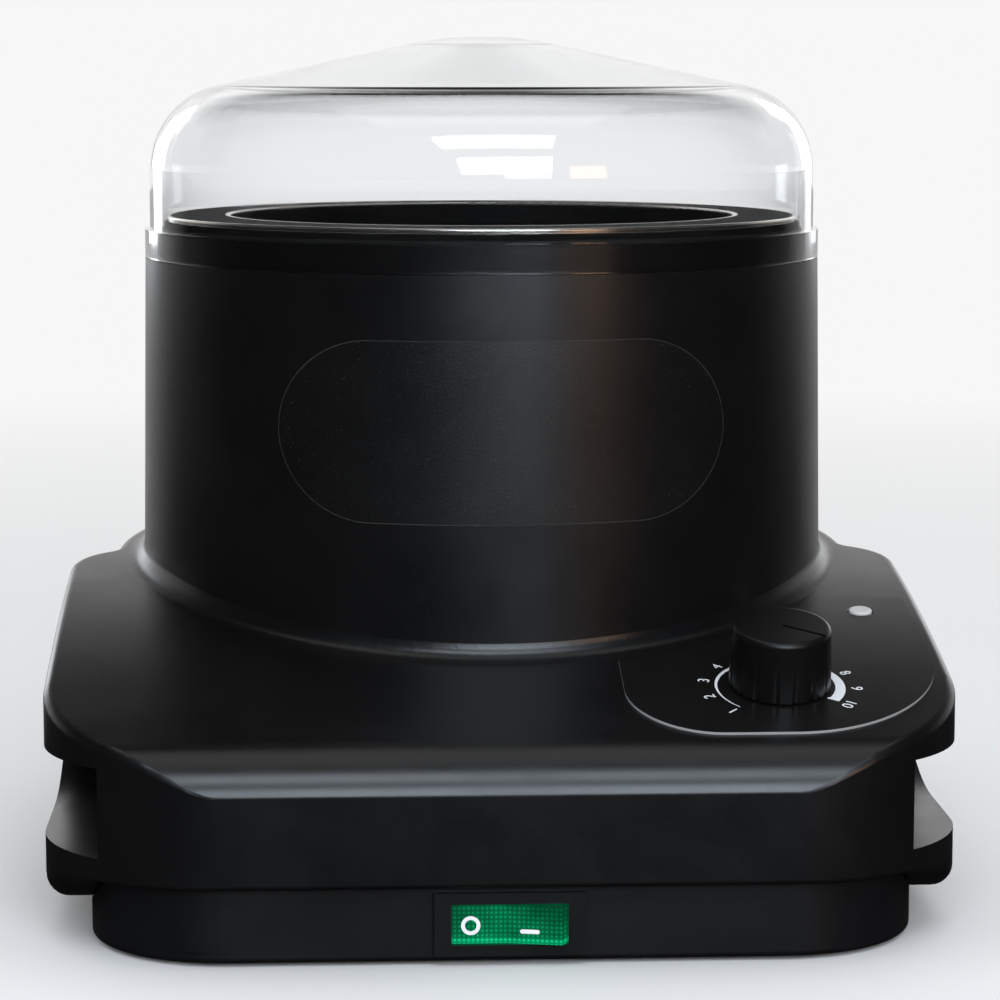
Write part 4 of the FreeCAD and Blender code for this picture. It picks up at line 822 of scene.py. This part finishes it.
def makeWorld():
    world = bpy.data.worlds.new("studio")
    scene.world = world
    world.use_nodes = True
    tree = world.node_tree
    back = tree.nodes["Background"]
    camera, through, mirrored = rayShares(tree)
    axes = splitAxes(tree, addNode(tree, "ShaderNodeTexCoord").outputs["Generated"])
    behind = addRange(tree, axes["Y"], *worldLook["behindSpan"], worldLook["front"], worldLook["glass"])
    overhead = addRange(tree, axes["Z"], *worldLook["aboveSpan"], 1, worldLook["above"])
    levels = ((mirrored, addMath(tree, "MULTIPLY", behind, overhead)), (through, worldLook["glass"]),
              (camera, worldLook["pale"]))
    strength = worldLook["diffuse"]
    for share, level in levels:
        strength = addMix(tree, "FLOAT", share, strength, level)
    tree.links.new(strength, back.inputs["Strength"])
    back.inputs["Color"].default_value = (1, 1, 1, 1)


makeWorld()

# softboxes: place, point looked at, width, height, power, colour
lamps = {
    "overhead": ((0.0, 0.0, 1.4), (0, 0, 0.05), 1.2, 0.9, 2.0, (1, 1, 1)),
    "window": ((0.14, -1.42, 0.57), (0, -0.1, 0.05), 0.8, 0.5, 8.0, (0.78, 0.89, 1)),
    "skylight": ((0.05, -1.0, 1.2), (0, -0.1, 0.05), 0.9, 0.4, 5.5, (0.8, 0.9, 1)),
    "leftRear": ((-0.75, 1.4, 0.4), (0, 0, 0.1), 0.3, 0.7, 1.6, (0.9, 0.95, 1)),
    "rightRear": ((0.75, 1.4, 0.4), (0, 0, 0.1), 0.3, 0.7, 0.7, (0.94, 0.97, 1)),
    "coolPanel": ((0.34, -1.5, 0.3), (0, 0, 0.12), 0.42, 0.26, 0.8, (0.82, 0.91, 1)),
    "warmPanel": ((0.84, -1.28, 0.34), (0, 0, 0.12), 0.34, 0.34, 1.2, (1, 0.6, 0.38)),
}


def makeLamps():
    for name, (place, target, width, height, power, colour) in lamps.items():
        pickNone()
        bpy.ops.object.light_add(type="AREA", location=place)
        lamp = nameNew(name)
        lamp.data.shape = "RECTANGLE"
        lamp.data.size = width
        lamp.data.size_y = height
        lamp.data.energy = power
        lamp.data.color = colour
        lamp.rotation_euler = (Vector(target) - Vector(place)).to_track_quat("-Z", "Y").to_euler()


makeLamps()
print("floor, world and lamps set")

# camera at the photograph's angle; lens and sensor in millimetres, angles in degrees
cameraLook = {"lens": 120.4, "sensor": 36, "near": 0.01, "place": (-0.036, -0.779, 0.1859),
              "down": 7.5, "turn": -2.89}


def makeCamera():
    pickNone()
    bpy.ops.object.camera_add(location=cameraLook["place"])
    camera = nameNew("photoCamera")
    camera.data.lens = cameraLook["lens"]
    camera.data.sensor_width = cameraLook["sensor"]
    camera.data.clip_start = cameraLook["near"]
    camera.rotation_euler = (math.radians(90 - cameraLook["down"]), 0, math.radians(cameraLook["turn"]))
    scene.camera = camera


makeCamera()
